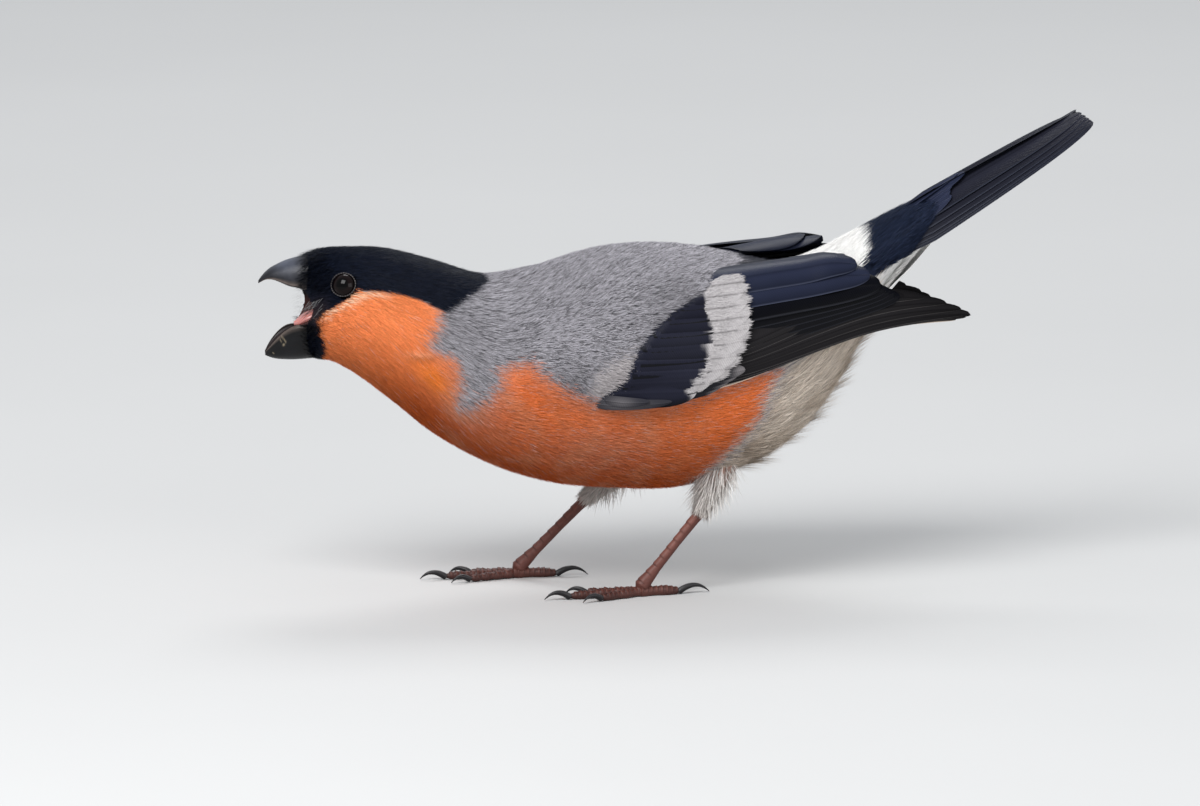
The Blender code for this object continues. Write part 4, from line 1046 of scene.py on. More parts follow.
def edged(ground, edge, low=0.9, both=False, tip=1.0):
    """Paint with a ground colour and a thin pale line along the outer edge of the vane.

    Towards the end of the vane the ground changes by the factor given as tip. The ground is
    painted lighter in the middle and darker towards both edges, as painted shade where the
    vanes overlap, and the shaft is a darker line.
    """
    def paint(_to_tip, across, along):
        line = ramp(np.abs(across) if both else across, low, 1)[..., None]
        shaded_ground = ground * (1.25 - 0.7 * across[..., None] ** 2)
        shaded_ground = shaded_ground * (1 + (tip - 1) * along[..., None] ** 3)
        return (shaded_ground + (edge - shaded_ground) * line**1.5) * (1 - 0.35 * bell(across, 0, 0.06)[..., None])
    return paint


def barred(white_length, wander):
    """Paint of a greater covert: blue-black, with its last stretch greyish white. The black is
    painted lighter in the middle and darker at the edges, as painted shade where the coverts
    overlap, with a thin painted highlight near the lower edge.
    """
    def paint(to_tip, across, _along):
        border = white_length - 0.9 * np.abs(across) + wander * np.sin(across * 4 + wander * 9)
        ground = COVERT_BLACK * (1.1 + 1.3 * wander) * (1.5 - 1.45 * across[..., None] ** 2)
        ground = ground + 0.006 * bell(across, 0.93, 0.06)[..., None]
        return ground + (BAR_WHITE - ground) * ramp(border - to_tip, -0.4, 0.4)[..., None]
    return paint


def dusky(_to_tip, across, along):
    """Paint of a false wing feather: smoky grey in its middle, dark at both ends."""
    grey = bell(along, 0.45, 0.25) * (1 - 0.7 * across**2)
    return rgb(0.022, 0.022, 0.028) + rgb(0.065, 0.060, 0.060) * grey[..., None]


def tipped(to_tip, across, _along):
    """Paint of a primary covert: dusky, with a smoky grey tip."""
    grey = ramp(to_tip, 3.4, 1.4) * (1 - 0.3 * across**2)
    return rgb(0.017, 0.017, 0.021) + rgb(0.118, 0.108, 0.108) * grey[..., None]


# %% Rows of the wing
def along_row(stations, share):
    """A place on the straight runs through a row's stations, from 0 at the first to 1."""
    stations = np.asarray(stations, float)
    at = share * (len(stations) - 1)
    return [float(np.interp(at, np.arange(len(stations)), column)) for column in stations.T]


PRIMARY = edged(BROWN_BLACK * 0.9, rgb(0.095, 0.088, 0.088), 0.84, tip=0.45)
LOWEST_PRIMARY = edged(BROWN_BLACK, rgb(0.75, 0.60, 0.48), 0.5, tip=0.6)
SECONDARY = edged(DARK_BLUE * 0.5, rgb(0.020, 0.021, 0.027), 0.9)
TERTIAL = edged(BLUE_BLACK * 1.3, rgb(0.042, 0.048, 0.075), 0.9)
WING_ROWS = {
    "primaries": dict(
        count=8, roots=[(-7, 92), (-4, 86), (0, 77)],
        tips=[(53, 87.4), (55, 87), (56, 86), (55.8, 84.5), (54, 79), (51, 72.5), (46.4, 66.5),
              (42.5, 64.5)],
        widths=(3.0, 1.1), lift=0.25, step=0.17, sink=0.0, bow=-5.0, power=3.5, paint=PRIMARY,
        first=LOWEST_PRIMARY, late=True),
    "secondaries": dict(
        count=5, roots=[(0, 75), (-1, 59)], tips=[(41.5, 64), (37.5, 58)], widths=(3.2, 2.3),
        lift=1.6, step=0.2, sink=1.0, bow=-1.0, power=6, paint=SECONDARY),
    "tertials": dict(
        count=3, roots=[(-1, 57), (-2, 51), (-2, 44)], tips=[(37.4, 57), (35.4, 51.5), (33, 45)],
        widths=(4.9, 3.1), lift=3.0, step=0.26, sink=2.3, bow=-1.5, power=5, paint=TERTIAL,
        curl=3.0, hump=0.45, fade=3.0, first=SECONDARY),
    "inner_tertials": dict(
        count=2, roots=[(8, 37), (10, 35)], tips=[(32, 37), (28.5, 35)], widths=(7.4, 2.0),
        lift=2.0, step=0.15, sink=2.4, bow=0.0, power=5, paint=TERTIAL, curl=5.2),
    "primary_coverts": dict(
        count=4, roots=[(-12, 94), (-9, 86)], tips=[(3.5, 90), (8.4, 84.5)], widths=(1.9, 1.4),
        lift=1.5, step=0.2, sink=0.9, bow=0.0, power=5, paint=tipped, dome=0.1),
    "bastard_wing": dict(
        count=2, roots=[(-23, 95), (-21, 92.5)], tips=[(-6.5, 94.5), (-11, 94)],
        widths=(1.15, 1.0), lift=2.3, step=0.2, sink=1.9, bow=1.0, power=3, paint=dusky,
        dome=0.2),
    "greater_coverts": dict(
        count=9, roots=[(-25, 90), (-19, 72), (-9, 50)],
        tips=[(-1.6, 90.5), (6.1, 79.5), (10.0, 64), (9.2, 49)], widths=(3.1, 3.0),
        lift=2.4, step=0.17, sink=2.2, bow=0.0, power=6, paint=None, dome=0.15,
        arch=0.05),
}


def wing_row(side, name, row):
    """The vanes of one row, from the lowest feather up, each a step above the last."""
    shells = []
    for i in range(row["count"]):
        share = i / (row["count"] - 1)
        white = np.interp(share, [0, 0.55, 1], [2.0, 8.2, 8.2])
        paint = row["paint"] or barred(white, 0.5 * chance.random())
        if i == 0:
            paint = row.get("first", paint)
        root, tip = along_row(row["roots"], share), along_row(row["tips"], share)
        lift = row["lift"] + i * row["step"]
        bow = row["bow"] * (1 + (1 - share) ** 2) if row.get("late") else row["bow"]
        if side == LEFT and name == "inner_tertials":
            root[0] += 5.0
            lift -= 0.7
        if side == RIGHT and name in ("primaries", "secondaries"):
            tip = [tip[0] - 1.0, tip[1] + 5.0 * (name == "primaries")]
        over_dome = row["dome"] + 0.055 * i if "dome" in row else 0.0
        shells.append(wing_vane(side, row, root, tip, lift, bow, paint, over_dome,
                                row.get("hump", 0.0) * i))
    return shells


for name, side in SIDES.items():
    shells = [shell for key, row in WING_ROWS.items() for shell in wing_row(side, key, row)]
    wing = piece(f"wing_feathers_{name}", joined(shells), quill)
    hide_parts(f"wing_{name}")

# %% [markdown]
# The white bar is downy where the coverts end, so loose barbs grow over its vanes. They use
# the coat's own barbs on another surface: the outer face of the greater coverts. The bar's
# front and back edges are read from tables of places along the wing at each angle.

# %% Down on the white bar
BAR_ANGLE = [42, 44.8, 50.4, 56.4, 65.2, 72.8, 79.6, 85.6, 90.8]
BAR_FRONT = [5.6, 3.0, 1.8, 0.8, 2.2, 1.6, 0.4, -1.6, -3.6]
BAR_BACK = [8.6, 10.0, 10.2, 10.3, 10.2, 9.2, 7.4, 4.4, -1.8]
BAR_TUFTS = 1500


def covert_order(angle):
    """Which greater covert lies at an angle: 0 for the lowest, 8 for the highest."""
    return 8 * (90.5 - angle) / 41.5


def covert_face(side):
    """The outer face of the greater coverts: the dome or the row's own height, the larger."""
    def surface(x, turn, lift):
        angle = degrees_down(turn)
        order = np.clip(covert_order(angle), 0, 8)
        high = np.maximum(dome_lift(x, angle) + 0.15 + 0.055 * order, 2.4 + 0.17 * order)
        return wing_point(side, x, angle, high + 0.06 + lift)
    return surface


def bar_lie(x, angle):
    """Degrees by which the down of the bar slants towards the belly."""
    return 9 * bump_at(x, angle, (5, 74), (30, 14))


def bar_colour(x, turn):
    """Greyish white, with painted shade where one covert overlaps the next."""
    to_overlap = np.abs(covert_order(degrees_down(turn)) % 1 - 0.5)
    tone = 1.12 - 0.5 * bell(to_overlap, 0, 0.08) + chance.normal(0, 0.06, len(x))
    return BAR_WHITE * np.clip(tone, 0.5, 1.3)[:, None]


for name, side in SIDES.items():
    share, around = even_places(BAR_TUFTS)
    angle = 42.5 + 48 * around
    front, back = np.interp(angle, BAR_ANGLE, BAR_FRONT), np.interp(angle, BAR_ANGLE, BAR_BACK)
    scallop = 1.5 * np.abs(np.cos(np.pi * covert_order(angle))) ** 0.6
    length = chance.uniform(1.3, 1.8, len(angle))
    x = front - 0.3 + chance.normal(0, 0.1, len(angle))
    x = x + (back - front - 0.8 + scallop - length) * share
    bar = piece(f"bar_down_{name}", barbs(
        x, side * np.radians(angle), length, 0.12, 7, 4.0, (-0.15, 0.07),
        on_map((x + 8) / 20, (angle - 40) / 55), covert_face(side), bar_lie, bar_colour), plumage)

# %% [markdown]
# The tail is a stack of twelve long vanes, the middle pair on top, folded so that its sides
# slope down at the root. Short black coverts lie over its root. Each vane is the same flat
# shell as in the wing, carried along a straight line in the open.

# %% Tail
TAIL_ROOT, TAIL_TIP = np.array([41.0, 0.0, 68.8]), np.array([82.0, 0.0, 90.4])


def tail_place(share, spread):
    """A point on the tail by its share of the length and its spread from -1 to 1 across."""
    place = TAIL_ROOT + (TAIL_TIP - TAIL_ROOT) * share[..., None]
    drop = np.abs(spread) ** 1.4 * (4.6 - 3.0 * share)
    return place + np.stack([0 * share, -spread * (4.2 + 2.2 * share), -drop], -1)


def tail_vane(spread, start, end, lifts, half_width, tip_power, paint):
    """A vane laid along the tail between two shares of its length."""
    along, width, relief = vane_section((half_width, half_width), tip_power, arch=0.07)
    share = (start + (end - start) * along)[:, 0]
    line = tail_place(share, spread)
    across = unit(tail_place(share, spread + 0.05) - tail_place(share, spread - 0.05))
    length = np.linalg.norm(line[-1] - line[0])
    up = np.cross(across, (line[-1] - line[0]) / length)
    up *= np.sign(up[:, 2:3])
    height = lifts[0] + (lifts[1] - lifts[0]) * along + relief
    rings = line[:, None] + across[:, None] * width[..., None] + up[:, None] * height[..., None]
    return vane_tube(rings, along, width, length, paint)


RECTRIX = edged(rgb(0.0115, 0.0120, 0.0185), rgb(0.022, 0.025, 0.038), 0.85, True)
COVERT = edged(BLUE_BLACK * 1.8, BLUE_BLACK * 2.6, 0.8, True)
shells = []
for pair, inward in enumerate((0.0, 0.06, 0.15, 0.34, 0.64, 1.0)):
    for side in (LEFT, RIGHT):
        lift = pair * 0.13 + (0.065 if side == RIGHT else 0.0)
        shells.append(tail_vane(
            side * (1.0 - 0.72 * inward), 0.0, 1.02 - 0.025 * inward,
            (lift * 1.4, lift * 0.8 + 0.8), 3.4 + 0.6 * inward, 8, RECTRIX))
for i in range(11):
    spread = 0.85 * (1 - i / 10)
    side = LEFT if i % 2 else RIGHT
    end = 0.42 - 0.16 * spread + 0.035 * np.sin(5.0 * i)
    shells.append(tail_vane(side * spread, -0.06, end, (0.6, 1.7 + i * 0.06), 2.3, 4, COVERT))
white_shells = []
for i in range(9):
    spread = (i - 4) / 4
    along, width, relief = vane_section((3.0, 3.0), 3, 0.06)
    x = 31.0 + (20.5 - 4.5 * abs(spread)) * along
    turn = np.pi * (1.013 - spread * (0.27 - 0.17 * along)) + width / form_radius(x, np.pi + 0 * x)
    rings = form_point(x, turn, -0.9 + 2.5 * along + 0.12 * (4 - abs(i - 4)) + relief)
    tint = rgb(0.97, 0.96, 0.94) * (1 - 0.08 * bell(ROUND, 0, 0.06))[:, None]
    white_shells.append(tube(rings, colours=tint))
under_tail = piece("undertail_feathers", joined(white_shells), plumage)
tail = piece("tail_feathers", joined(shells), quill)
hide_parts("tail")

# %% [markdown]
# The bill is horn over bone: a hooked upper half and a deep, blunt lower half. Both are lofts
# of D-shaped sections whose flat side faces the mouth. The mesh is fine enough to carry its
# own colours: pale cutting edges and a few light scratches, with a painted bluish highlight on
# the ridge and painted shade on the mouth side.

# %% Bill
UPPER_BILL = np.array([
    (-81.8, 61.85, 61.35, 0.3), (-81.4, 62.4, 61.7, 0.7), (-80.7, 63.2, 62.2, 1.35),
    (-79.6, 64.2, 62.4, 2.1), (-78.2, 65.0, 62.1, 2.8), (-76.5, 65.8, 61.5, 3.5),
    (-74.3, 66.45, 61.1, 4.15), (-72.4, 66.9, 60.4, 4.5), (-70.0, 67.0, 60.2, 4.5)]).T
LOWER_BILL = np.array([
    (-80.5, 47.9, 47.0, 0.7), (-79.8, 49.0, 46.7, 1.7), (-78.6, 50.6, 46.35, 2.7),
    (-77.1, 52.1, 46.2, 3.5), (-75.5, 53.0, 46.15, 4.05), (-74.2, 53.2, 46.2, 4.3),
    (-72.4, 52.9, 46.35, 4.4), (-69.6, 52.6, 46.6, 4.4)]).T
SCRATCHES = [((-77.9, 51.2), (-77.1, 50.1)), ((-77.1, 50.1), (-77.8, 49.3)),
             ((-78.3, 50.6), (-78.0, 50.2)), ((-79.4, 47.8), (-79.2, 47.6))]


def bill_half(stations, upper):
    """Rings of one half: the crown side is round, the mouth side nearly flat."""
    places = np.linspace(0, 1, 90)[:, None]
    x = stations[0][0] + (stations[0][-1] - stations[0][0]) * places**1.6
    turn = circle(72)
    top, bottom, half = (through(stations, row, x) for row in (1, 2, 3))
    edge, crown = (bottom, top) if upper else (top, bottom)
    up = np.cos(turn)
    rise = np.where(up > 0, np.abs(up) ** 0.9, (0.12 if upper else -0.3) * up)
    side = np.sign(np.sin(turn)) * np.abs(np.sin(turn)) ** 0.85
    roll = 0.0 if upper else -0.13 * half * side
    rings = np.stack([x + 0 * up, middle_line(x)[0] + half * side,
                      edge + (crown - edge) * rise + roll], -1)
    return rings, up + 0 * places, places + 0 * up


def bill_colour(rings, up, share, upper):
    """Slate horn: paler along the cutting edge and at the tip, with a painted bluish highlight on
    the ridge and painted shade on the mouth side.
    """
    up, share = up[..., None], share[..., None]
    tint = rgb(0.008, 0.0075, 0.0085) * (1.0 if upper else 0.25)
    # Painted highlight: a bluish patch on the top of the bill, mostly on the upper half.
    shine = 0.05 + 0.95 * bell(rings[..., :1], -76.6, 2.4)
    ridge = np.clip(up, 0, 1) ** 1.2 * (1.0 if upper else 0.1)
    tint = tint + rgb(0.050, 0.056, 0.075) * ridge * shine
    flank = tent(up, 0.35, 0.3) * (0.35 if upper else 0.1)
    tint = tint + rgb(0.022, 0.022, 0.026) * flank * (1 - share**2)
    lip = tent(up, 0.02, 0.09) * (1 - 0.6 * share)
    tint = tint + (rgb(0.28, 0.22, 0.19) - tint) * lip * 0.7
    # Painted shade: the side that faces into the mouth is nearly black.
    tint = tint + (rgb(0.016, 0.010, 0.010) - tint) * np.clip(-up * 3, 0, 1) * 0.8
    if not upper:
        flat = rings[..., [0, 2]]
        near_side = rings[..., 1] < middle_line(rings[..., 0])[0]
        for start, end in SCRATCHES:
            start, run = np.array(start), np.array(end) - np.array(start)
            t = np.clip(((flat - start) @ run) / (run @ run), 0, 1)
            near = np.linalg.norm(flat - start - t[..., None] * run, axis=-1)
            tint = tint + rgb(0.22, 0.18, 0.12) * (bell(near, 0, 0.07) * near_side)[..., None]
    return tint


for name, stations, upper in (("upper", UPPER_BILL, True), ("lower", LOWER_BILL, False)):
    rings, up, share = bill_half(stations, upper)
    bill = piece(f"bill_{name}", tube(rings, colours=bill_colour(rings, up, share, upper)), horn)
    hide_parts(f"{name}_bill")

# %% [markdown]
# The tongue is a thick pink pad on the floor of the mouth, with a shallow groove. It is a tube
# of ellipses that narrow to the tip.

# %% Tongue
TONGUE = np.array([(-75.0, 53.3, 0.5, 0.35), (-74.3, 53.6, 1.3, 0.7), (-73.2, 54.2, 1.9, 1.0),
                   (-71.4, 54.8, 2.1, 1.2), (-69.4, 55.0, 2.0, 1.2)]).T
x = np.linspace(TONGUE[0][0], TONGUE[0][-1], 40)[:, None]
turn = circle(32)
middle, half, high = (through(TONGUE, row, x) for row in (1, 2, 3))
groove = 1 - 0.18 * bell(np.sin(turn), 0, 0.25) * (np.cos(turn) > 0)
rings = np.stack([x + 0 * turn, middle_line(x)[0] + half * np.sin(turn),
                  middle + high * np.cos(turn) * groove], -1)
tongue = piece("tongue_pad", tube(rings), tongue_skin)
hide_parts("tongue")

# %% [markdown]
# A bullfinch's eye is nearly black, with a dark brown iris that shows only in strong light. A
# thin rim of bare, wrinkled skin runs round it. The ball is a sphere of rings about the way
# the eye looks, and the rim is a ring of small beads.

# %% Eyes and their rims
for name, (centre, facing, skin_place) in EYES.items():
    level, upright = two_ways(facing)
    polar = np.linspace(0.02, np.pi - 0.02, 48)[:, None]
    turn = circle(64)[:, None]
    round_it = level * np.cos(turn) + upright * np.sin(turn)
    rings = centre + EYE_RADIUS * (facing * np.cos(polar)[..., None]
                                   + round_it * np.sin(polar)[..., None])
    iris = ramp(np.degrees(polar), 26, 32) * ramp(np.degrees(polar), 60, 50)
    tint = rgb(0.0010, 0.0009, 0.0009) + rgb(0.0034, 0.0010, 0.0010) * iris[..., None]
    ball = piece(f"eyeball_{name}", tube(rings, colours=tint), eye_gloss)
    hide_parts(f"eye_{name}")
    major, minor = np.meshgrid(np.arange(97) * 2 * np.pi / 96, circle(12), indexing="ij")
    major, minor = major[..., None], minor[..., None]
    bead = 0.11 + 0.02 * np.sin(major * 30) + 0.015 * np.sin(major * 9 + 1)
    out = level * np.cos(major) * 1.02 + upright * np.sin(major) * 0.96
    rings = (skin_place - facing * 0.05 + out * (2.40 + bead * np.cos(minor))
             + facing * (bead * np.sin(minor)))
    tint = rgb(0.085, 0.075, 0.075) * np.clip(np.sin(major * 30), 0.1, 1)
    rim = piece(f"eye_rim_{name}", tube(rings, colours=tint), scale_skin)

# %% [markdown]
# The bare leg is covered with scutes: broad overlapping plates down its front and over the
# toes, with soft pads below. The legs are tubes whose radius has a small saw-tooth along the
# front for the plates and a swelling at each pad.

# %% Legs
# For each side the middles of the thigh's root, the heel and the foot.
LEGS = {LEFT: np.array([(7.0, -8.6, 27.0), (2.6, -11.4, 16.3), (-9.6, -12.4, 2.0)]),
        RIGHT: np.array([(-5.0, 8.4, 26.5), (-15.6, 10.8, 15.6), (-29.2, 11.8, 2.0)])}
# Degrees off straight ahead, length, number of pads, radius, length of the claw.
TOES = [(-24.0, 9.6, 2, 0.95, 4.6), (-3.0, 14.4, 3, 1.05, 5.4), (17.0, 10.8, 4, 0.9, 4.3),
        (176.0, 7.6, 1, 1.15, 6.6)]
TOE_NAMES = ("inner", "middle", "outer", "hind")
LEG_BROWN = rgb(0.092, 0.031, 0.024)
LEG_PALE = rgb(0.26, 0.105, 0.080)


def tube_along(line, radii, around, ridge=0.0):
    """Rings square to a line of points, with a radius at each and a ridge added to it."""
    level, front = two_ways(unit(np.gradient(line, axis=0)))
    turn = circle(around)[:, None]
    return line[:, None] + (radii[:, None] + ridge)[..., None] * (
        level[:, None] * np.cos(turn) + front[:, None] * np.sin(turn))


def shank_shell(side):
    """The tarsus from under the thigh to the toes: nine plates down its front."""
    _, heel, foot = LEGS[side]
    share = np.linspace(-0.06, 1.05, 110)
    radii = np.interp(share, [-0.06, 0.0, 0.12, 0.4, 0.75, 0.93, 1.0, 1.05],
                      [1.0, 1.2, 1.02, 0.92, 1.0, 1.35, 1.5, 0.7])
    facing = np.clip(np.sin(circle(28)), 0, 1) ** 0.5
    plate = (share * 9.0 + 0.3)[:, None] % 1
    rings = tube_along(heel + (foot - heel) * share[:, None], radii, 28,
                       0.15 * (plate - 0.5) * facing)
    rings[..., 2] = np.maximum(rings[..., 2], 0.25)
    groove = ramp(np.minimum(plate, 1 - plate), 0.09, 0) * facing
    tint = LEG_BROWN + (LEG_PALE - LEG_BROWN) * (0.55 * (1 - share[:, None]) * facing)[..., None]
    return tube(rings, colours=tint * (1 - 0.65 * groove[..., None]))


def toe_line(side, toe):
    """The toe's root on the floor plane and the way that it points."""
    heading = np.radians(toe[0]) * side
    return LEGS[side][2] * (1, 1, 0), np.array([-np.cos(heading), np.sin(heading), 0.0])


def toe_shell(side, toe):
    """One toe: plates above, pads below, flat where it meets the floor."""
    _, length, pads, radius, _ = toe
    root, way = toe_line(side, toe)
    share = np.linspace(-0.03, 1.0, 90)
    swell = 1 + 0.12 * np.cos((share * (2 * pads + 1)) * np.pi)
    radii = radius * swell * (1.06 - 0.34 * share) * np.clip((1.04 - share) * 9, 0, 1) ** 0.5
    line = root + way * (length * share)[:, None]
    line[:, 2] = 0.95 * (1 - 0.25 * share)
    facing = np.clip(np.sin(circle(24)) + 0.15, 0, 1) ** 0.5
    plate = (share * length * 0.95)[:, None] % 1
    rings = tube_along(line, radii, 24, 0.22 * (plate - 0.5) * facing)
    rings[..., 2] = np.maximum(rings[..., 2], 0.0)
    groove = ramp(np.minimum(plate, 1 - plate), 0.1, 0) * facing
    tint = LEG_BROWN * (0.85 - 0.45 * share[:, None, None]) * (1 - 0.7 * groove[..., None])
    tint = tint + 0.14 * ((plate > 0.6) * (plate < 0.9) * facing)[..., None] * LEG_PALE
    return tube(rings, colours=tint)


def claw_shell(side, toe):
    """A curved, tapering claw: it rises from the toe and comes down to its point."""
    _, length, _, radius, reach = toe
    root, way = toe_line(side, toe)
    share = np.linspace(-0.08, 1, 48)[:, None]
    line = root + way * (length + 0.45 + reach * share * (1 - 0.12 * share))
    line = line + (0.0, 0.0, 1.0) * (0.75 + reach * 0.62 * share * (1 - share) - 0.55 * share**2)
    radii = 0.64 * (1 - 0.9 * np.clip(share[:, 0], 0, 1) ** 1.3) * min(1.0, radius)
    rings = tube_along(line, radii, 20)
    rings[..., 2] = np.maximum(rings[..., 2], 0.05)
    shine = np.clip(np.sin(circle(20)), 0, 1)[:, None] * (1 - share[..., None])
    return tube(rings, colours=rgb(0.012, 0.011, 0.012) + 0.03 * shine)


for name, side in SIDES.items():
    shells = [shank_shell(side)] + [toe_shell(side, toe) for toe in TOES]
    leg = piece(f"leg_{name}", joined(shells), scale_skin)
    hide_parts(f"shank_{name}", f"foot_{name}")
    claws = piece(f"claws_{name}", joined([claw_shell(side, toe) for toe in TOES]), horn)
    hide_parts(*(f"claw_{toe}_{name}" for toe in TOE_NAMES))

# %% [markdown]
# The thighs are hidden in soft whitish down whose longest strands hang loose over the heel.
# The down grows on a tapering tube with the same barbs as the coat, on a form of its own whose
# turn goes round the thigh. Finer, longer strands are added one by one.

# %% Thighs
THIGH = np.array([(0.0, 4.0), (0.3, 3.4), (0.55, 2.4), (0.8, 1.6), (1.0, 1.1)]).T
THIGH_TUFTS, THIGH_HAIRS = 900, 700


def thigh_surface(root, heel):
    """A form for the barbs: x is the share of the way to the heel times ten."""
    level, front = two_ways(unit(heel - root))
    def surface(x, turn, lift):
        """Point at that share of the thigh, at its radius plus the lift, turned round it."""
        share = x / 10.0
        radius = np.maximum(through(THIGH, 1, share) + lift, 0.1)
        return (root + (heel - root) * share[..., None] + radius[..., None] * (
            level * np.cos(turn)[..., None] + front * np.sin(turn)[..., None]))
    return surface


def thigh_colour(x, turn):
    """Orange where the thigh leaves the belly, then whitish grey down."""
    down = np.array([0.50, 0.46, 0.43]) * chance.normal(1, 0.2, len(x))[:, None]
    warm = np.clip(1.1 - x / 5 + chance.normal(0, 0.2, len(x)), 0, 1)
    return blend(down, np.array([0.40, 0.13, 0.06]), 0.8 * warm)


def strands(roots, ways, lengths, width, droop, colours, spots):
    """Long fine hairs that bend down, as arrays for a piece; each has a spot on the map."""
    across = unit(np.cross(ways, (0.1, 0.0, 1.0)))
    share = np.array([0.0, 0.0, 0.35, 0.35, 0.7, 0.7, 1.0])
    half = np.array([-1.0, 1.0, -0.9, 0.9, -0.55, 0.55, 0.0]) / 2
    reach = lengths[:, None] * share
    points = roots[:, None] + ways[:, None] * reach[..., None]
    points = points + across[:, None] * (width * half)[None, :, None]
    points[..., 2] -= reach * share * droop
    blade = np.array([[0, 1, 3], [0, 3, 2], [2, 3, 5], [2, 5, 4], [4, 5, 6]])
    triangles = (np.arange(len(roots))[:, None, None] * 7 + blade).reshape(-1, 3)
    patch = np.stack([share - 0.5, half], -1) * 0.003
    return {"points": points.reshape(-1, 3), "triangles": triangles,
            "colours": colours.repeat(7, 0),
            "corners": (spots[:, None] + patch).reshape(-1, 2)[triangles]}


for name, side in SIDES.items():
    root, heel, _ = LEGS[side]
    surface = thigh_surface(root, heel)
    x, turn = np.meshgrid(np.linspace(-1.5, 10.0, 30), circle(28), indexing="ij")
    core = tube(surface(x, turn, -0.5), colours=0.2)
    along, around = even_places(THIGH_TUFTS)
    x, turn = 0.5 + 9.0 * along, around * 2 * np.pi - np.pi
    tufts = barbs(
        x, turn, np.interp(x, [0, 10], [4.2, 2.6]), 0.2, 7, 12.0,
        (-0.4, chance.uniform(0.1, 1.1, THIGH_TUFTS)), on_map(x / 10, turned(turn), 0.05),
        surface, lambda x, angle: 0 * x, thigh_colour)
    x = 0.8 + 7.4 * chance.random(THIGH_HAIRS)
    turn = chance.uniform(-np.pi, np.pi, THIGH_HAIRS)
    roots = surface(x, turn, -0.3)
    out = unit(roots - (root + np.outer(x / 10, heel - root)))
    flare = chance.uniform(0.1, 0.75, THIGH_HAIRS) + 1.1 * (chance.random(THIGH_HAIRS) < 0.3)
    ways = unit(heel - root) + out * flare[:, None] + chance.normal(0, 0.12, out.shape)
    lengths = chance.uniform(3.5, 7.0, THIGH_HAIRS) * np.interp(x, [0, 8], [1, 0.7])
    tint = rgb(0.66, 0.63, 0.60) * chance.normal(1, 0.2, THIGH_HAIRS)[:, None]
    hairs = strands(roots, unit(ways), lengths, 0.15, 0.12, np.clip(tint, 0, 1),
                    on_map(x / 10, turned(turn), 0.05))
    thigh = piece(f"thigh_down_{name}", stacked(
        [dict(core, corners=core["corners"] * 0.02), tufts, hairs]), plumage)
    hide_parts(f"thigh_{name}")

# %% [markdown]
# The same long hairs break up the smooth outline behind the legs. They start on the vent, run
# back along it and rise off it in loose bunches: each bunch shares one extra lift and slant.

# %% Loose hairs of the vent
BUNCHES, HAIRS_EACH = 190, 14
bunch = np.arange(BUNCHES).repeat(HAIRS_EACH)
x = chance.uniform(9, 35, BUNCHES)[bunch] + chance.normal(0, 0.5, len(bunch))
turn = (chance.uniform(0, 1, BUNCHES)[bunch] * 1.9 + 2.2
        + chance.normal(0, 0.045, len(bunch)))
turn = np.where(turn > np.pi, turn - 2 * np.pi, turn)
keep = border_distance(x, degrees_down(turn), WHITE) < -1.0
x, turn, bunch = x[keep], turn[keep], bunch[keep]
lifted = chance.uniform(0.0, 0.55, BUNCHES)[bunch][:, None]
ways = unit(way_back(x, turn)) + skin_facing(x, turn) * lifted
ways = unit(ways + chance.normal(0, 0.07, ways.shape))
lengths = chance.uniform(4.0, 7.5, len(x))
hairs = piece("vent_hairs", strands(
    form_point(x, turn, -0.3), ways, lengths, 0.15, 0.05, vent_colour(x, turn),
    on_map((x - 6) / 32, turned(turn), 0.05)), plumage)

# %% [markdown]
# Short black plumes lie forwards over the root of the bill, and stiff bristles stand round
# the gape. Each is one of the long hairs above, rooted on the face and pointing forwards.

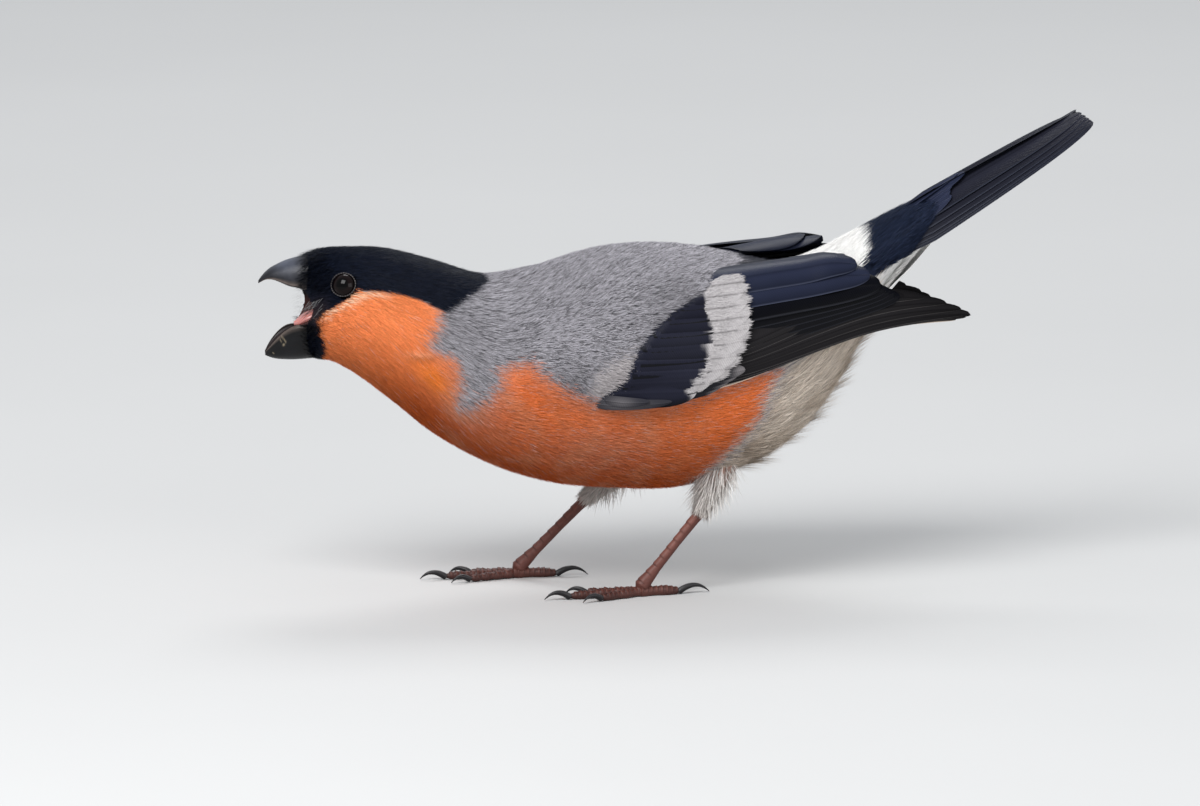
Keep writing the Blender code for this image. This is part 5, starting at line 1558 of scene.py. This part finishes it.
# %% Plumes and bristles of the face
plumes, bristles = 3600, 150
x = -73.6 + 5.6 * chance.random(plumes) ** 1.8
turn = chance.uniform(-np.pi, np.pi, plumes)
roots = form_point(x, turn, -0.15)
brow = (roots[:, 2] > 61.0) & (np.abs(turn) < 1.25)
keep = brow | ((roots[:, 2] < 54.0) & (np.abs(turn) > 1.6) & (x < -71.2))
x, turn, roots, brow, plumes = x[keep], turn[keep], roots[keep], brow[keep], keep.sum()
inward = unit((at_radius(x, turn, 0.0) - roots) * (0, 1, 1))
ways = np.array([-1.0, 0.0, 0.0]) + inward * (0.35 * ramp(x, -70.6, -73.6))[:, None]
ways = unit(ways + chance.normal(0, 0.12, (plumes, 3)) + (0.0, -0.19, 0.0))
side = np.where(chance.random(bristles) < 0.5, -1.0, 1.0)
gape_x = chance.uniform(-73.4, -70.5, bristles)
gape_turn = side * np.radians(chance.uniform(72, 128, bristles))
gape_roots = form_point(gape_x, gape_turn, -0.1)
gape_ways = unit(np.stack([chance.uniform(-1.0, -0.5, bristles), -0.25 * side - 0.1,
                           chance.uniform(-0.55, 0.05, bristles)], -1))
lengths = chance.uniform(1.4, 2.8, plumes) * np.where(brow, 1.0, 0.6)
gape_lengths = chance.uniform(1.5, 3.2, bristles)
black = rgb(0.0050, 0.0062, 0.0105) * chance.uniform(0.6, 1.6, plumes)[:, None]
pale = (gape_roots[:, 2] > 57.5) & (chance.random(bristles) < 0.5)
grizzled = np.where(pale, 0.22, 0.008)[:, None] * np.ones(3)
face = piece("face_plumes", stacked([
    strands(roots, ways, lengths, 0.16, 0.0, black,
            on_map((x + 74) / 4, turned(turn), 0.05)),
    strands(gape_roots, gape_ways, gape_lengths, 0.08, 0.25, grizzled,
            on_map((gape_x + 74) / 4, turned(gape_turn), 0.05))]), plumage)

# %% [markdown]
# The floor is a wide pale board that catches a soft shadow. It belongs to the setting, not to
# the bird. A faint cloud in its grey keeps it from looking like a cut-out.

# %% Floor
floor_finish = Finish("floor", {"Roughness": 0.85, "Specular IOR Level": 0.2})
floor_finish.mottle(6.0, 3.0, (0.45, 0.45, 0.446), (0.48, 0.48, 0.476))
FLOOR_EDGE, FLOOR_DROP = 1600.0, 0.02
square = np.array([(-1, -1, 0), (1, -1, 0), (1, 1, 0), (-1, 1, 0)]) * FLOOR_EDGE
floor = piece("floor", {"points": square - (0, 0, FLOOR_DROP),
                        "triangles": np.array([[0, 1, 2], [0, 2, 3]])}, floor_finish)

# %% The end
bpy.context.view_layer.update()
